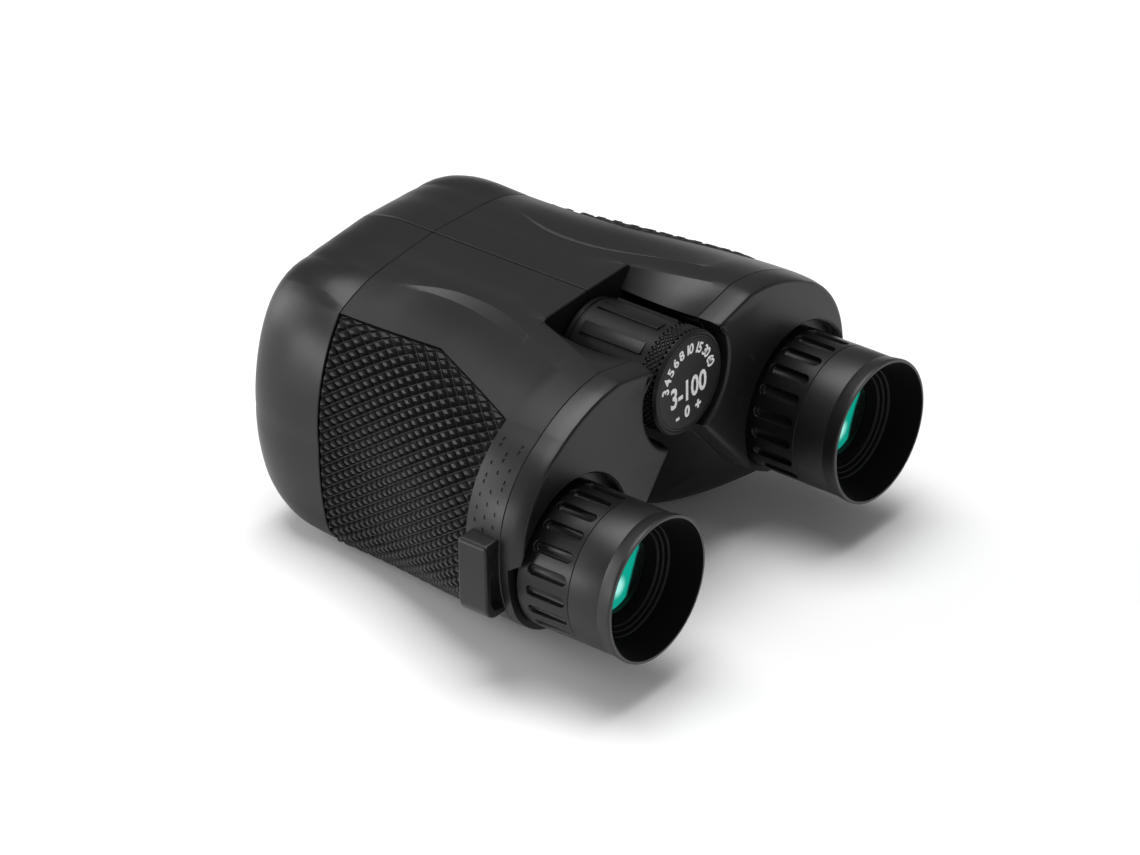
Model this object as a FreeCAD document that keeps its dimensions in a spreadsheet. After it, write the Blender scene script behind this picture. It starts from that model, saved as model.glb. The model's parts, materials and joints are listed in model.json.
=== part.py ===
# Compact reverse-porro binoculars: two half bodies that fold about a central hinge.
#
# Drawing frame of every piece: x to the user's right, y forwards from the eyecup rims,
# z up from the eyepiece axes.  The assembly's origin is under the middle of the part, on the
# surface it rests on, so each piece is placed by (0, -overall_length / 2, belly_drop).
# The right half is drawn, and the left half is its mirror image.

import FreeCAD, Part
import math
import os
import re

import Sketcher
from FreeCAD import Placement, Rotation, Vector

SIZES = {
    # overall
    "overall_length": 105.0,        # eyecup rim to nose tip
    "eye_spacing": 74.0,            # between eyepiece axes, fully open
    "fold_angle": 37.4,             # travel of one half about the hinge, degrees
    "top_height": 34.7,             # top plate above the eyepiece axes
    "belly_drop": 24.0,             # flat belly below the eyepiece axes
    "nose_half_width": 38.1,        # widest point of the nose from the centre plane
    "seam_gap": 0.3,                # between the two top plates
    # stations along the body
    "cover_face": 20.7,             # rear face of the rear cover
    "rear_seam": 26.0,              # rear cover to housing
    "lip_station": 45.5,            # rear edge of the top plate, over the focus drum
    "front_seam": 85.0,             # housing to front cover
    # walls
    "housing_wall": 2.0,
    "nose_wall": 1.6,
    "cover_floor": 2.0,
    "grip_thickness": 1.0,
    "grip_start": 35.0,             # rear edge of the grip panel
    "grip_shoulder": 30.0,          # top edge of the grip from the centre plane, at the front
    "grip_shoulder_rear": 39.5,     # the same at the grip's rear edge
    "grip_bend": 59.0,              # where that top edge starts to turn outwards
    "grip_underside": 26.0,         # lower edge of the grip, on the belly
    # hinge
    "hinge_height": 22.0,           # hinge axis above the eyepiece axes
    "knuckle_radius": 5.6,
    "knuckle_clearance": 0.4,
    "knuckle_length": 4.5,
    "rear_knuckles": 48.2,
    "front_knuckles": 74.0,
    "washer_thickness": 0.4,
    "shaft_radius": 4.0,
    "shaft_bore": 2.9,
    "shaft_start": 34.3,
    "shaft_end": 100.4,
    "collar_height": 1.2,           # collar of the shaft behind the knuckles
    "collar_length": 1.5,
    "nut_wall": 1.4,                # the hinge nut, in front of the knuckles
    "running_fit": 0.05,            # radial, between turning or sliding pieces
    "seat_fit": 0.01,               # radial, between pieces that are pressed together
    "liner_wall": 1.6,
    # focus wheel
    "wheel_face": 20.3,
    "wheel_radius": 11.1,
    "drum_radius": 10.6,
    "drum_end": 45.1,
    "ring_end": 25.0,
    "dial_radius": 10.2,
    "recess_radius": 13.4,
    "recess_end": 46.2,
    "pad_width": 2.8,
    "pad_start": 26.9,
    "pad_end": 42.0,
    "pad_count": 10,
    "screw_radius": 2.2,
    # focus nut and spool
    "nut_start": 87.5,
    "nut_length": 8.0,
    "key_width": 2.0,
    "key_play": 0.1,
    "spool_radius": 7.2,
    "groove_radius": 5.2,
    "groove_width": 4.4,
    "spool_clearance": 0.4,
    "focus_near": 3.0,              # travel of the objectives, forwards
    "focus_far": 1.0,               # and backwards
    # objectives
    "objective_x": 21.7,
    "objective_height": 8.0,
    "lens_radius": 12.4,
    "lens_lip": 0.8,                # what holds a lens reaches this far in from its edge
    "lens_seat": 6.0,               # seat in the cell, from the cell's rear end
    "lens_thickness": 5.4,
    "lens_front_curve": 62.0,
    "lens_rear_curve": 180.0,
    "cell_radius": 13.3,
    "cell_start": 84.0,
    "cell_length": 12.4,
    "mouth_radius": 12.9,
    "front_wall": 3.5,
    "rod_radius": 1.5,
    "rod_rise": 19.0,               # guide rod above the objective axis
    "ear_start": 4.0,               # sliding ear on the cell, from the cell's rear end
    "ear_length": 6.0,
    "arm_half_height": 2.0,
    # prisms
    "shelf_start": 48.0,
    "shelf_thickness": 2.0,
    "clip_thickness": 0.5,
    "clip_width": 4.0,
    "clip_gap": 0.1,
    # eyepieces
    "tube_radius": 12.8,
    "tube_start": 13.0,
    "tube_end": 33.0,
    "tube_bore": 11.05,
    "bore_radius": 17.2,            # counterbore in the rear cover
    "ring_radius": 15.1,
    "ring_start": 10.6,
    "slot_count": 20,
    "slot_width": 2.2,
    "slot_start": 11.6,
    "slot_end": 20.9,
    "slot_depth": 1.1,
    "cup_radius": 15.5,
    "flange_reach": 1.4,            # flange of the tube, in front of the cover's floor
    "flange_wall": 1.6,
    "stop_reach": 2.0,              # inward lip that stops the ocular cell
    "stop_wall": 1.2,
    "eye_lens_radius": 9.5,
    "ocular_start": 9.8,
    "ocular_lip": 1.2,
    "eye_lens_length": 6.5,
    "eye_rear_curve": 60.0,
    "eye_front_curve": 24.0,
    "lens_space": 3.0,
    "field_lens_length": 7.0,
    "field_curve": 30.0,
    "dioptre_travel": 1.4,
    # strap lug
    "lug_start": 26.4,
    "lug_end": 33.4,
    "lug_reach": 57.6,
    "lug_bar": 1.6,
    "lug_low": -7.5,
    "lug_high": 10.0,
}

doc = FreeCAD.newDocument("Binoculars")
sheet = doc.addObject("Spreadsheet::Sheet", "Sizes")
for row, (alias, value) in enumerate(SIZES.items(), start=1):
    sheet.set("A%d" % row, alias)
    sheet.set("B%d" % row, str(value))
    sheet.setAlias("B%d" % row, alias)
working = doc.addObject("Spreadsheet::Sheet", "Working")
doc.recompute()

nodes = []                          # the labels of the finished pieces, in order


# ---------------------------------------------------------------- small drawing helpers

def size(alias):
    return float(sheet.get(alias))


def bound(formula):
    """The formula with each size named as a cell of the sheet."""
    def cell(match):
        word = match.group(0)
        return "Sizes." + word if word in SIZES else word
    return re.sub(r"[a-z][a-z_]*", cell, formula)


def number(formula):
    """What a formula comes to, worked out in a spare cell."""
    working.set("A1", "=" + bound(formula))
    working.recompute()
    return float(working.get("A1"))


def place(piece, x="0", y="0", z="0", rotation=None):
    """Put a piece at its drawing position in the assembly, following the sheet."""
    piece.Placement = Placement(Vector(0, 0, 0), rotation or Rotation())
    piece.setExpression("Placement.Base.x", bound(x))
    piece.setExpression("Placement.Base.y", bound("(%s) - overall_length / 2" % y))
    piece.setExpression("Placement.Base.z", bound("(%s) + belly_drop" % z))


def origin_plane(body, role):
    for feature in body.Origin.OriginFeatures:
        if feature.Role == role:
            return feature
    raise ValueError(role)


def new_sketch(body, role, name, offset="0"):
    sketch = body.newObject("Sketcher::SketchObject", name)
    sketch.AttachmentSupport = [(origin_plane(body, role), "")]
    sketch.MapMode = "FlatFace"
    sketch.setExpression("AttachmentOffset.Base.z", bound(offset))
    return sketch


def pin_point(sketch, geometry, end, formula_x, formula_y):
    """Tie one end of a line to a place worked out from the sheet."""
    for kind, axis, formula in (("DistanceX", -2, formula_x), ("DistanceY", -1, formula_y)):
        value = number(formula)
        if abs(value) < 1e-9:
            sketch.addConstraint(Sketcher.Constraint("PointOnObject", geometry, end, axis))
            continue
        if value > 0:
            constraint = Sketcher.Constraint(kind, -1, 1, geometry, end, value)
            formula_used = formula
        else:
            constraint = Sketcher.Constraint(kind, geometry, end, -1, 1, -value)
            formula_used = "-(%s)" % formula
        index = sketch.addConstraint(constraint)
        sketch.setExpression("Constraints[%d]" % index, bound(formula_used))


def draw_outline(sketch, outline):
    """A closed run of straight lines through points given as pairs of formulas."""
    corners = [Vector(number(x), number(y), 0) for x, y in outline]
    count = len(corners)
    for i in range(count):
        sketch.addGeometry(Part.LineSegment(corners[i], corners[(i + 1) % count]), False)
    for i in range(count):
        sketch.addConstraint(Sketcher.Constraint("Coincident", i, 2, (i + 1) % count, 1))
    for i, (x, y) in enumerate(outline):
        pin_point(sketch, i, 1, x, y)


def draw_slot(sketch, low, high, width):
    """A round-ended slot along the sketch's vertical axis."""
    half = number(width) / 2
    y_low = number(low) + half
    y_high = number(high) - half
    bottom = Part.Circle(Vector(0, y_low, 0), Vector(0, 0, 1), half)
    top = Part.Circle(Vector(0, y_high, 0), Vector(0, 0, 1), half)
    sketch.addGeometry(Part.ArcOfCircle(bottom, math.pi, 2 * math.pi), False)
    sketch.addGeometry(Part.ArcOfCircle(top, 0, math.pi), False)
    sketch.addGeometry(Part.LineSegment(Vector(half, y_low, 0), Vector(half, y_high, 0)), False)
    sketch.addGeometry(Part.LineSegment(Vector(-half, y_high, 0), Vector(-half, y_low, 0)), False)
    for joint in ((0, 2, 2, 1), (2, 2, 1, 1), (1, 2, 3, 1), (3, 2, 0, 1)):
        sketch.addConstraint(Sketcher.Constraint("Tangent", *joint))
    pin_point(sketch, 0, 3, "0", "%s + %s / 2" % (low, width))
    pin_point(sketch, 1, 3, "0", "%s - %s / 2" % (high, width))
    constraint = sketch.addConstraint(Sketcher.Constraint("Radius", 0, half))
    sketch.setExpression("Constraints[%d]" % constraint, bound("%s / 2" % width))


def new_body(label):
    body = doc.addObject("PartDesign::Body", label)
    body.Label = label
    return body


def turned(label, outline, x="0", z="0"):
    """A turned piece: an outline of (radius, y) pairs revolved about its own axis."""
    body = new_body(label)
    sketch = new_sketch(body, "XY_Plane", label + "_outline")
    draw_outline(sketch, outline)
    revolution = body.newObject("PartDesign::Revolution", label + "_turned")
    revolution.Profile = sketch
    revolution.ReferenceAxis = (sketch, ["V_Axis"])
    revolution.Angle = 360
    sketch.Visibility = False
    place(body, x, "0", z)
    return body


def rod(label, radius, start, end, x="0", z="0"):
    return turned(label, [("0", start), (radius, start), (radius, end), ("0", end)], x, z)


def plate(label, outline, start, length, x="0", z="0", turn=0.0):
    """A flat piece: an (x, z) outline padded forwards, turned about its own y axis."""
    body = new_body(label)
    sketch = new_sketch(body, "XZ_Plane", label + "_outline")
    draw_outline(sketch, outline)
    pad = body.newObject("PartDesign::Pad", label + "_pad")
    pad.Profile = sketch
    pad.setExpression("Length", bound(length))
    pad.Reversed = True
    place(body, x, start, z, Rotation(Vector(0, 1, 0), turn))
    return body


def bar(label, outline, width):
    """An (x, y) outline padded sideways, centred on the plane it is drawn in."""
    body = new_body(label)
    sketch = new_sketch(body, "XY_Plane", label + "_outline", "-(%s) / 2" % width)
    draw_outline(sketch, outline)
    pad = body.newObject("PartDesign::Pad", label + "_pad")
    pad.Profile = sketch
    pad.setExpression("Length", bound(width))
    return body


def fuse(label, pieces):
    joined = doc.addObject("Part::MultiFuse", label)
    joined.Label = label
    joined.Shapes = pieces
    return joined


def cut(label, base, tool):
    result = doc.addObject("Part::Cut", label)
    result.Label = label
    result.Base = base
    result.Tool = tool
    return result


def computed(label, shape):
    """A sculpted piece, worked out from the sheet, then placed."""
    piece = doc.addObject("Part::Feature", label)
    piece.Label = label
    piece.Shape = shape
    place(piece)
    return piece


def group(label, pieces):
    """Identical fasteners as one piece of several solids."""
    gathered = doc.addObject("Part::Compound", label)
    gathered.Label = label
    gathered.Links = pieces
    return gathered


def keep(piece):
    nodes.append(piece.Label)
    return piece


def mirrored(piece, label):
    """The left-hand twin of a right-hand piece."""
    twin = doc.addObject("Part::Mirroring", label)
    twin.Label = label
    twin.Source = piece
    twin.Normal = Vector(1, 0, 0)
    twin.Base = Vector(0, 0, 0)
    return keep(twin)


def both_sides(piece):
    keep(piece)
    mirrored(piece, piece.Label.replace("right_", "left_", 1))
    return piece


def rod_shape(radius, start, end, x=0.0, z=0.0):
    return Part.makeCylinder(radius, end - start, Vector(x, start, z), Vector(0, 1, 0))


def box_shape(low, high):
    return Part.makeBox(high[0] - low[0], high[1] - low[1], high[2] - low[2], Vector(*low))


# ---------------------------------------------------------------- outline of a half body

EYE_X = size("eye_spacing") / 2
HINGE_Z = size("hinge_height")
TOP = size("top_height")
BELLY = -size("belly_drop")
NOSE_X = size("nose_half_width")
SEAM = size("seam_gap") / 2
OBJECTIVE_X = size("objective_x")
OBJECTIVE_Z = size("objective_height")
BARREL_FLOOR = size("bore_radius") - 0.7      # underside of the body round the eyepiece
RIDGE_FRONT = 14.16                           # arrow-shaped corner of the top plate's lip
RIDGE_REAR = EYE_X - 15.6                     # ridge that runs back to the rear cover


def gap_wall(z):
    """x of the slanted inner wall, which leaves the gap that the halves close when folded."""
    return 2 * SEAM + 0.05 + (HINGE_Z - z) * math.tan(math.radians(size("fold_angle") / 2 + 0.2))


REAR_OUTLINE = {
    "seam": (SEAM, TOP - 6.7),
    "ridge": (RIDGE_REAR, TOP - 1.95),
    "shoulder_rise": (EYE_X - 4.6, TOP - 3.8),
    "shoulder": (EYE_X + 4.7, TOP - 8.3),
    "flank_high": (EYE_X + 12.8, TOP - 15.5),
    "flank": (EYE_X + 16.8, 4.8),
    "flank_low": (EYE_X + 16.3, -2.5),
    "turn": (EYE_X + 14.4, -8.3),
    "turn_low": (EYE_X + 8.9, -13.9),
    "belly_out": (EYE_X, -BARREL_FLOOR),
    "belly_in": (EYE_X - 5.6, 1.0 - BARREL_FLOOR),
    "keel": (EYE_X - 13.0, -11.0),
    "gap_low": (EYE_X - 20.0, -4.8),
    "gap_high": (5.5, HINGE_Z - 14.4),
    "hinge": (SEAM, HINGE_Z),
}
FRONT_OUTLINE = {
    "seam": (SEAM, TOP),
    "ridge": (RIDGE_FRONT, TOP - 0.8),
    "shoulder_rise": (NOSE_X - 15.3, TOP - 2.1),
    "shoulder": (NOSE_X - 7.8, TOP - 5.1),
    "flank_high": (NOSE_X - 2.9, TOP - 13.8),
    "flank": (NOSE_X, 2.0),
    "flank_low": (NOSE_X - 0.2, -7.0),
    "turn": (NOSE_X - 1.4, BELLY + 8.9),
    "turn_low": (NOSE_X - 4.4, BELLY + 2.6),
    "belly_out": (NOSE_X - 8.1, BELLY),
    "belly_in": (gap_wall(BELLY) + 2.5, BELLY),
    "keel": (gap_wall(BELLY + 0.8) + 0.6, BELLY + 0.8),
    "gap_low": (gap_wall(BELLY + 2.7), BELLY + 2.7),
    "gap_high": (gap_wall(6.3), 6.3),
    "hinge": (SEAM, HINGE_Z),
}
RECESS_FOOT = {                               # inside the drum's recess, which is cut out later
    "seam": (SEAM, TOP - 16.6),
    "hinge": (gap_wall(HINGE_Z - 8.0), HINGE_Z - 8.0),
}


def outline_points(station, beside_drum=False):
    """The outline at a station: the rear outline drawn out smoothly into the front one."""
    rear = size("rear_seam")
    lip = size("lip_station")
    front = size("front_seam")
    along = min(max((station - rear) / (front - rear), 0.0), 1.0)
    side = (1 + math.cos(math.pi * along)) / 2
    ridge = min(max((lip - station) / (lip - rear), 0.0), 1.0)
    share = {name: side for name in FRONT_OUTLINE}
    share["seam"] = ridge
    share["ridge"] = ridge
    share["hinge"] = 0.0
    for name in ("belly_out", "belly_in", "keel", "gap_low", "gap_high"):
        share[name] = ridge ** 1.5
    points = []
    for name, front_point in FRONT_OUTLINE.items():
        rear_point = REAR_OUTLINE[name]
        if beside_drum and name in RECESS_FOOT:
            front_point = RECESS_FOOT[name]
        points.append(Vector(front_point[0] + (rear_point[0] - front_point[0]) * share[name], 0,
                             front_point[1] + (rear_point[1] - front_point[1]) * share[name]))
    return points


def inset_points(points, depth):
    """The same outline moved inwards by a wall's depth, corner by corner."""
    count = len(points)
    moved = []
    for i, point in enumerate(points):
        before = (point - points[i - 1]).normalize()
        after = (points[(i + 1) % count] - point).normalize()
        inward_before = Vector(-before.z, 0, before.x) * -1
        inward_after = Vector(-after.z, 0, after.x) * -1
        spread = 1 + inward_before.dot(inward_after)
        moved.append(point + (inward_before + inward_after) * (depth / spread))
    return moved


def outline_wire(points, station):
    """Flat runs and arcs through the outline's points."""
    p = [Vector(point.x, station, point.z) for point in points]
    edges = [
        Part.LineSegment(p[0], p[1]),
        Part.Arc(p[1], p[2], p[3]),
        Part.Arc(p[3], p[4], p[5]),
        Part.Arc(p[5], p[6], p[7]),
        Part.Arc(p[7], p[8], p[9]),
        Part.LineSegment(p[9], p[10]),
        Part.Arc(p[10], p[11], p[12]),
        Part.LineSegment(p[12], p[13]),
        Part.LineSegment(p[13], p[14]),
        Part.LineSegment(p[14], p[0]),
    ]
    return Part.Wire([edge.toShape() for edge in edges])


def skin(sections):
    return Part.makeLoft(sections, True, True)


def spaced(start, end, count):
    return [start + (end - start) * i / count for i in range(count + 1)]


def body_loft(depth):
    """The half body between its seams, moved inwards by a depth."""
    rear = size("rear_seam")
    lip = size("lip_station")
    rear_part = [outline_wire(inset_points(outline_points(y, True), depth), y)
                 for y in spaced(rear, lip, 3)]
    front_part = [outline_wire(inset_points(outline_points(y), depth), y)
                  for y in spaced(lip, size("front_seam"), 6)]
    return skin(rear_part).fuse(skin(front_part))


# ---------------------------------------------------------------- housings

LINER = size("liner_wall")
CLEAR = size("knuckle_radius") + size("knuckle_clearance")
SHELF = size("shelf_start")
SHELF_FRONT = SHELF + size("shelf_thickness")
ROD_Z = OBJECTIVE_Z + size("rod_rise")
SHELF_SCREWS = ((NOSE_X - 5.1, TOP - 9.2), (16.5, TOP - 4.9), (23.0, BELLY + 4.2))
SCREW_SHANK = 1.0
SCREW_HEAD = 1.9
SCREW_REACH = 5.0
BOSS_RADIUS = 2.6
OVERCUT = 1.0

outer_body = body_loft(0.0)
cavity = body_loft(size("housing_wall"))


def near_hinge(solid, radius, start, end):
    """What lies within a radius of the hinge axis."""
    return solid.common(rod_shape(radius, start, end, 0.0, HINGE_Z))


def grip_shape():
    """The rubber skin let into the outer side, between the shoulder and the belly."""
    layer = outer_body.cut(body_loft(size("grip_thickness")))
    start = size("grip_start")
    bend = size("grip_bend")
    front = size("front_seam")
    far = EYE_X + 40.0
    edge = [Vector(size("grip_shoulder"), front, 0), Vector(size("grip_shoulder"), bend, 0),
            Vector(size("grip_shoulder_rear"), start, 0), Vector(far, start, 0), Vector(far, front, 0)]
    upper = Part.Face(Part.makePolygon(edge + edge[:1])).extrude(Vector(0, 0, TOP + OVERCUT))
    lower = box_shape((size("grip_underside"), start, BELLY - OVERCUT), (far, front, 0))
    return layer.common(upper.fuse(lower))


def lug_shape():
    """The strap lug: a bar stood off the flank on two legs."""
    start = size("lug_start")
    end = size("lug_end")
    reach = size("lug_reach")
    low = size("lug_low")
    high = size("lug_high")
    leg = size("lug_bar")
    block = box_shape((EYE_X + 10.0, start, low), (reach, end, high))
    corners = [edge for edge in block.Edges
               if all(abs(v.X - reach) < 1e-6 for v in edge.Vertexes)
               and abs(edge.Vertexes[0].Z - edge.Vertexes[1].Z) < 1e-6]
    block = block.makeFillet(leg, corners)
    opening = box_shape((EYE_X, start - OVERCUT, low + leg), (reach - leg, end + OVERCUT, high - leg))
    return block.cut(opening).cut(body_loft(size("housing_wall") / 2))


def housing_shape(knuckles, bore, grip):
    """The half body's shell with the drum's recess, its hinge knuckles and the strap lug."""
    recess = size("recess_radius")
    recess_end = size("recess_end")
    front = size("front_seam")
    shape = outer_body.cut(cavity)
    shape = shape.fuse([near_hinge(outer_body, recess + LINER, size("rear_seam"), recess_end + LINER),
                        near_hinge(outer_body, CLEAR + LINER, recess_end, front)])
    for x, z in SHELF_SCREWS:
        boss = rod_shape(BOSS_RADIUS, SHELF_FRONT, SHELF_FRONT + SCREW_REACH + LINER, x, z)
        shape = shape.fuse(outer_body.common(boss))
        shape = shape.cut(rod_shape(SCREW_SHANK, SHELF_FRONT - OVERCUT, SHELF_FRONT + SCREW_REACH, x, z))
    shape = shape.cut(rod_shape(recess, size("rear_seam") - OVERCUT, recess_end, 0.0, HINGE_Z))
    shape = shape.cut(rod_shape(CLEAR, recess_end - OVERCUT, front + OVERCUT, 0.0, HINGE_Z))
    for start in knuckles:
        end = start + size("knuckle_length")
        barrel = rod_shape(size("knuckle_radius"), start, end, 0.0, HINGE_Z)
        shape = shape.fuse([barrel, near_hinge(outer_body, CLEAR + LINER / 2, start, end)])
        shape = shape.cut(rod_shape(bore, start - OVERCUT, end + OVERCUT, 0.0, HINGE_Z))
    return shape.fuse(lug_shape()).cut(grip)


KNUCKLE_STEP = size("knuckle_length") + size("washer_thickness") + 2 * size("running_fit")
REAR_KNUCKLES = (size("rear_knuckles"), size("rear_knuckles") + KNUCKLE_STEP)
FRONT_KNUCKLES = (size("front_knuckles"), size("front_knuckles") + KNUCKLE_STEP)

grip = grip_shape()
right_grip = both_sides(computed("right_grip_panel", grip))
right_housing = keep(computed("right_housing", housing_shape(
    (REAR_KNUCKLES[1], FRONT_KNUCKLES[0]), size("shaft_radius") + size("running_fit"), grip)))
left_blank = computed("left_housing_blank", housing_shape(
    (REAR_KNUCKLES[0], FRONT_KNUCKLES[1]), size("shaft_radius") + size("seat_fit"), grip))
left_housing = mirrored(left_blank, "left_housing")


# ---------------------------------------------------------------- rear and front covers

def rear_cover_shape():
    """A cover with a rounded rear edge, a counterbore round the eyepiece and a floor in it."""
    seam = size("rear_seam")
    face = size("cover_face")
    points = outline_points(seam, True)
    depth = seam - face
    rounding = ((0.0, 0.0), (0.4, 0.15), (0.75, 0.7), (1.0, 1.6))
    sections = [outline_wire(inset_points(points, inset), seam - depth * share)
                for share, inset in rounding]
    shape = skin(sections)
    floor = seam - size("cover_floor")
    shape = shape.cut(rod_shape(size("bore_radius"), face - OVERCUT, floor, EYE_X, 0.0))
    shape = shape.cut(rod_shape(size("tube_radius") + size("running_fit"), face, seam + OVERCUT, EYE_X, 0.0))
    return shape.cut(rod_shape(size("recess_radius"), face - OVERCUT, seam + OVERCUT, 0.0, HINGE_Z))


NOSE_ROUNDING = (                   # share of the nose's length, draw-in, rise of the underside
    (0.0, 0.0, 0.0), (0.35, 0.0, 0.02), (0.65, 0.5, 0.08),
    (0.85, 1.8, 0.15), (0.96, 3.6, 0.24), (1.0, 5.2, 0.3))
GAP_SIDE = {"belly_in": 2.5, "keel": 0.6, "gap_low": 0.0, "gap_high": 0.0}


def nose_section(draw, rise, station, wall=0.0):
    """The front outline drawn in at the top, flank and underside, but not at the seam."""
    points = []
    for name, (x, z) in FRONT_OUTLINE.items():
        if name != "hinge":
            lift = (1 - draw / (TOP - OBJECTIVE_Z)) * (1 - rise if z < OBJECTIVE_Z else 1)
            z = OBJECTIVE_Z + (z - OBJECTIVE_Z) * lift
            x = SEAM + (x - SEAM) * (1 - draw / NOSE_X)
        if name in GAP_SIDE:
            x = gap_wall(z) + GAP_SIDE[name]
        points.append(Vector(x, 0, z))
    return outline_wire(inset_points(points, wall), station)


def front_cover_shape():
    """The nose: a rounded shell with the objective's mouth and a boss for the guide rod."""
    front = size("front_seam")
    tip = size("overall_length")
    wall = size("nose_wall")
    inner_end = tip - size("front_wall")
    outer = skin([nose_section(draw, rise, front + (tip - front) * share)
                  for share, draw, rise in NOSE_ROUNDING])
    hollow = skin([nose_section(draw, rise, min(front + (tip - front) * share, inner_end), wall)
                   for share, draw, rise in NOSE_ROUNDING[:4]])
    spool_room = size("spool_radius") + size("spool_clearance")
    shape = outer.cut(hollow)
    shape = shape.fuse(near_hinge(outer, spool_room + LINER, front, inner_end + OVERCUT))
    boss_radius = size("rod_radius") + LINER + 0.6
    rod_boss = rod_shape(boss_radius, inner_end - 3.0, inner_end + 0.5, OBJECTIVE_X, ROD_Z)
    shape = shape.fuse(outer.common(rod_boss))
    shape = shape.cut(rod_shape(size("rod_radius") + size("seat_fit"), inner_end - 4.0, inner_end,
                                OBJECTIVE_X, ROD_Z))
    shape = shape.cut(rod_shape(spool_room, front - OVERCUT, tip + OVERCUT, 0.0, HINGE_Z))
    mouth = rod_shape(size("mouth_radius"), inner_end - OVERCUT, tip + OVERCUT, OBJECTIVE_X, OBJECTIVE_Z)
    bevel = Part.makeCone(size("mouth_radius"), size("mouth_radius") + 1.5, 1.5,
                          Vector(OBJECTIVE_X, tip - 1.4, OBJECTIVE_Z), Vector(0, 1, 0))
    return shape.cut(mouth).cut(bevel).cut(arm_slot_shape())


ARM_REACH = math.hypot(OBJECTIVE_X, HINGE_Z - OBJECTIVE_Z)
ARM_TURN = math.degrees(math.atan2(OBJECTIVE_Z - HINGE_Z, -OBJECTIVE_X))
ARM_ROOM = 0.5
GROOVE_START = size("nut_start") + (size("nut_length") - size("groove_width")) / 2


def arm_slot_shape():
    """Room in the liner for the focus arm and its travel."""
    start = GROOVE_START - size("focus_far") - ARM_ROOM
    end = GROOVE_START + size("groove_width") + size("focus_near") + ARM_ROOM
    half = size("arm_half_height") + ARM_ROOM
    slot = box_shape((size("cell_radius") - OVERCUT, start, -half), (ARM_REACH - 5.0, end, half))
    slot.rotate(Vector(0, 0, 0), Vector(0, 1, 0), ARM_TURN)
    slot.translate(Vector(OBJECTIVE_X, 0, OBJECTIVE_Z))
    return slot


right_rear_cover = both_sides(computed("right_rear_cover", rear_cover_shape()))
right_front_cover = both_sides(computed("right_front_cover", front_cover_shape()))


# ---------------------------------------------------------------- prisms on their shelf

# Two right-angled prisms carry the light from the objective's axis to the eyepiece's.
# Each shifts it by one prism width, at 45 degrees either side of the straight line between.
SHIFT = Vector(EYE_X - OBJECTIVE_X, 0, -OBJECTIVE_Z)
PRISM_WIDTH = SHIFT.Length / math.sqrt(2)
SHIFT_ANGLE = math.atan2(SHIFT.z, SHIFT.x)
REAR_ANGLE = SHIFT_ANGLE - math.pi / 4
FRONT_ANGLE = SHIFT_ANGLE + math.pi / 4
MIDDLE_X = OBJECTIVE_X + PRISM_WIDTH * math.cos(REAR_ANGLE)
MIDDLE_Z = OBJECTIVE_Z + PRISM_WIDTH * math.sin(REAR_ANGLE)
sheet.set("B%d" % (len(SIZES) + 1), str(PRISM_WIDTH))
sheet.setAlias("B%d" % (len(SIZES) + 1), "prism_width")
SIZES["prism_width"] = PRISM_WIDTH
doc.recompute()


def place_on_shelf(piece, front_side, x, z, station, angle):
    """Lay an outline's x along the prism, and point its y away from the shelf."""
    if front_side:
        turn = Rotation(Vector(0, 1, 0), -math.degrees(angle))
    else:
        turn = Rotation(Vector(math.cos(angle / 2), 0, math.sin(angle / 2)), 180)
    place(piece, "0", station, "0", turn)
    piece.setExpression("Placement.Base.x", None)
    piece.setExpression("Placement.Base.z", None)
    piece.Placement = Placement(Vector(x, number(station) - size("overall_length") / 2, z - BELLY), turn)
    piece.setExpression("Placement.Base.y", bound("(%s) - overall_length / 2" % station))


PRISM_OUTLINE = [("-prism_width", "0"), ("prism_width", "0"),
                 ("1", "prism_width - 1"), ("-1", "prism_width - 1")]
LEG = "(prism_width + 1.414 * clip_gap)"
OUTER_LEG = "(prism_width + 1.414 * (clip_gap + clip_thickness))"
INNER_TOP = "(prism_width - 1 + clip_gap)"
OUTER_TOP = "(prism_width - 1 + clip_gap + clip_thickness)"
CLIP_HALF = [
    (LEG, "0"), ("prism_width + 2.2", "0"), ("prism_width + 2.2", "clip_thickness"),
    (OUTER_LEG + " - clip_thickness", "clip_thickness"), (OUTER_LEG + " - " + OUTER_TOP, OUTER_TOP),
]
CLIP_OUTLINE = (CLIP_HALF + [("-(%s)" % x, y) for x, y in reversed(CLIP_HALF)]
                + [("-(%s - %s)" % (LEG, INNER_TOP), INNER_TOP), ("%s - %s" % (LEG, INNER_TOP), INNER_TOP)])
PRISMS = (
    ("rear", False, (OBJECTIVE_X + MIDDLE_X) / 2, (OBJECTIVE_Z + MIDDLE_Z) / 2, "shelf_start", REAR_ANGLE),
    ("front", True, (EYE_X + MIDDLE_X) / 2, MIDDLE_Z / 2, "shelf_start + shelf_thickness", FRONT_ANGLE),
)
clips = []
for name, front_side, x, z, station, angle in PRISMS:
    prism = bar("right_%s_prism" % name, PRISM_OUTLINE, "prism_width")
    place_on_shelf(prism, front_side, x, z, station, angle)
    both_sides(prism)
    clip = bar("right_%s_clip" % name, CLIP_OUTLINE, "clip_width")
    place_on_shelf(clip, front_side, x, z, station, angle)
    clips.append(clip)
right_clips = both_sides(group("right_prism_clips", clips))


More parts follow.
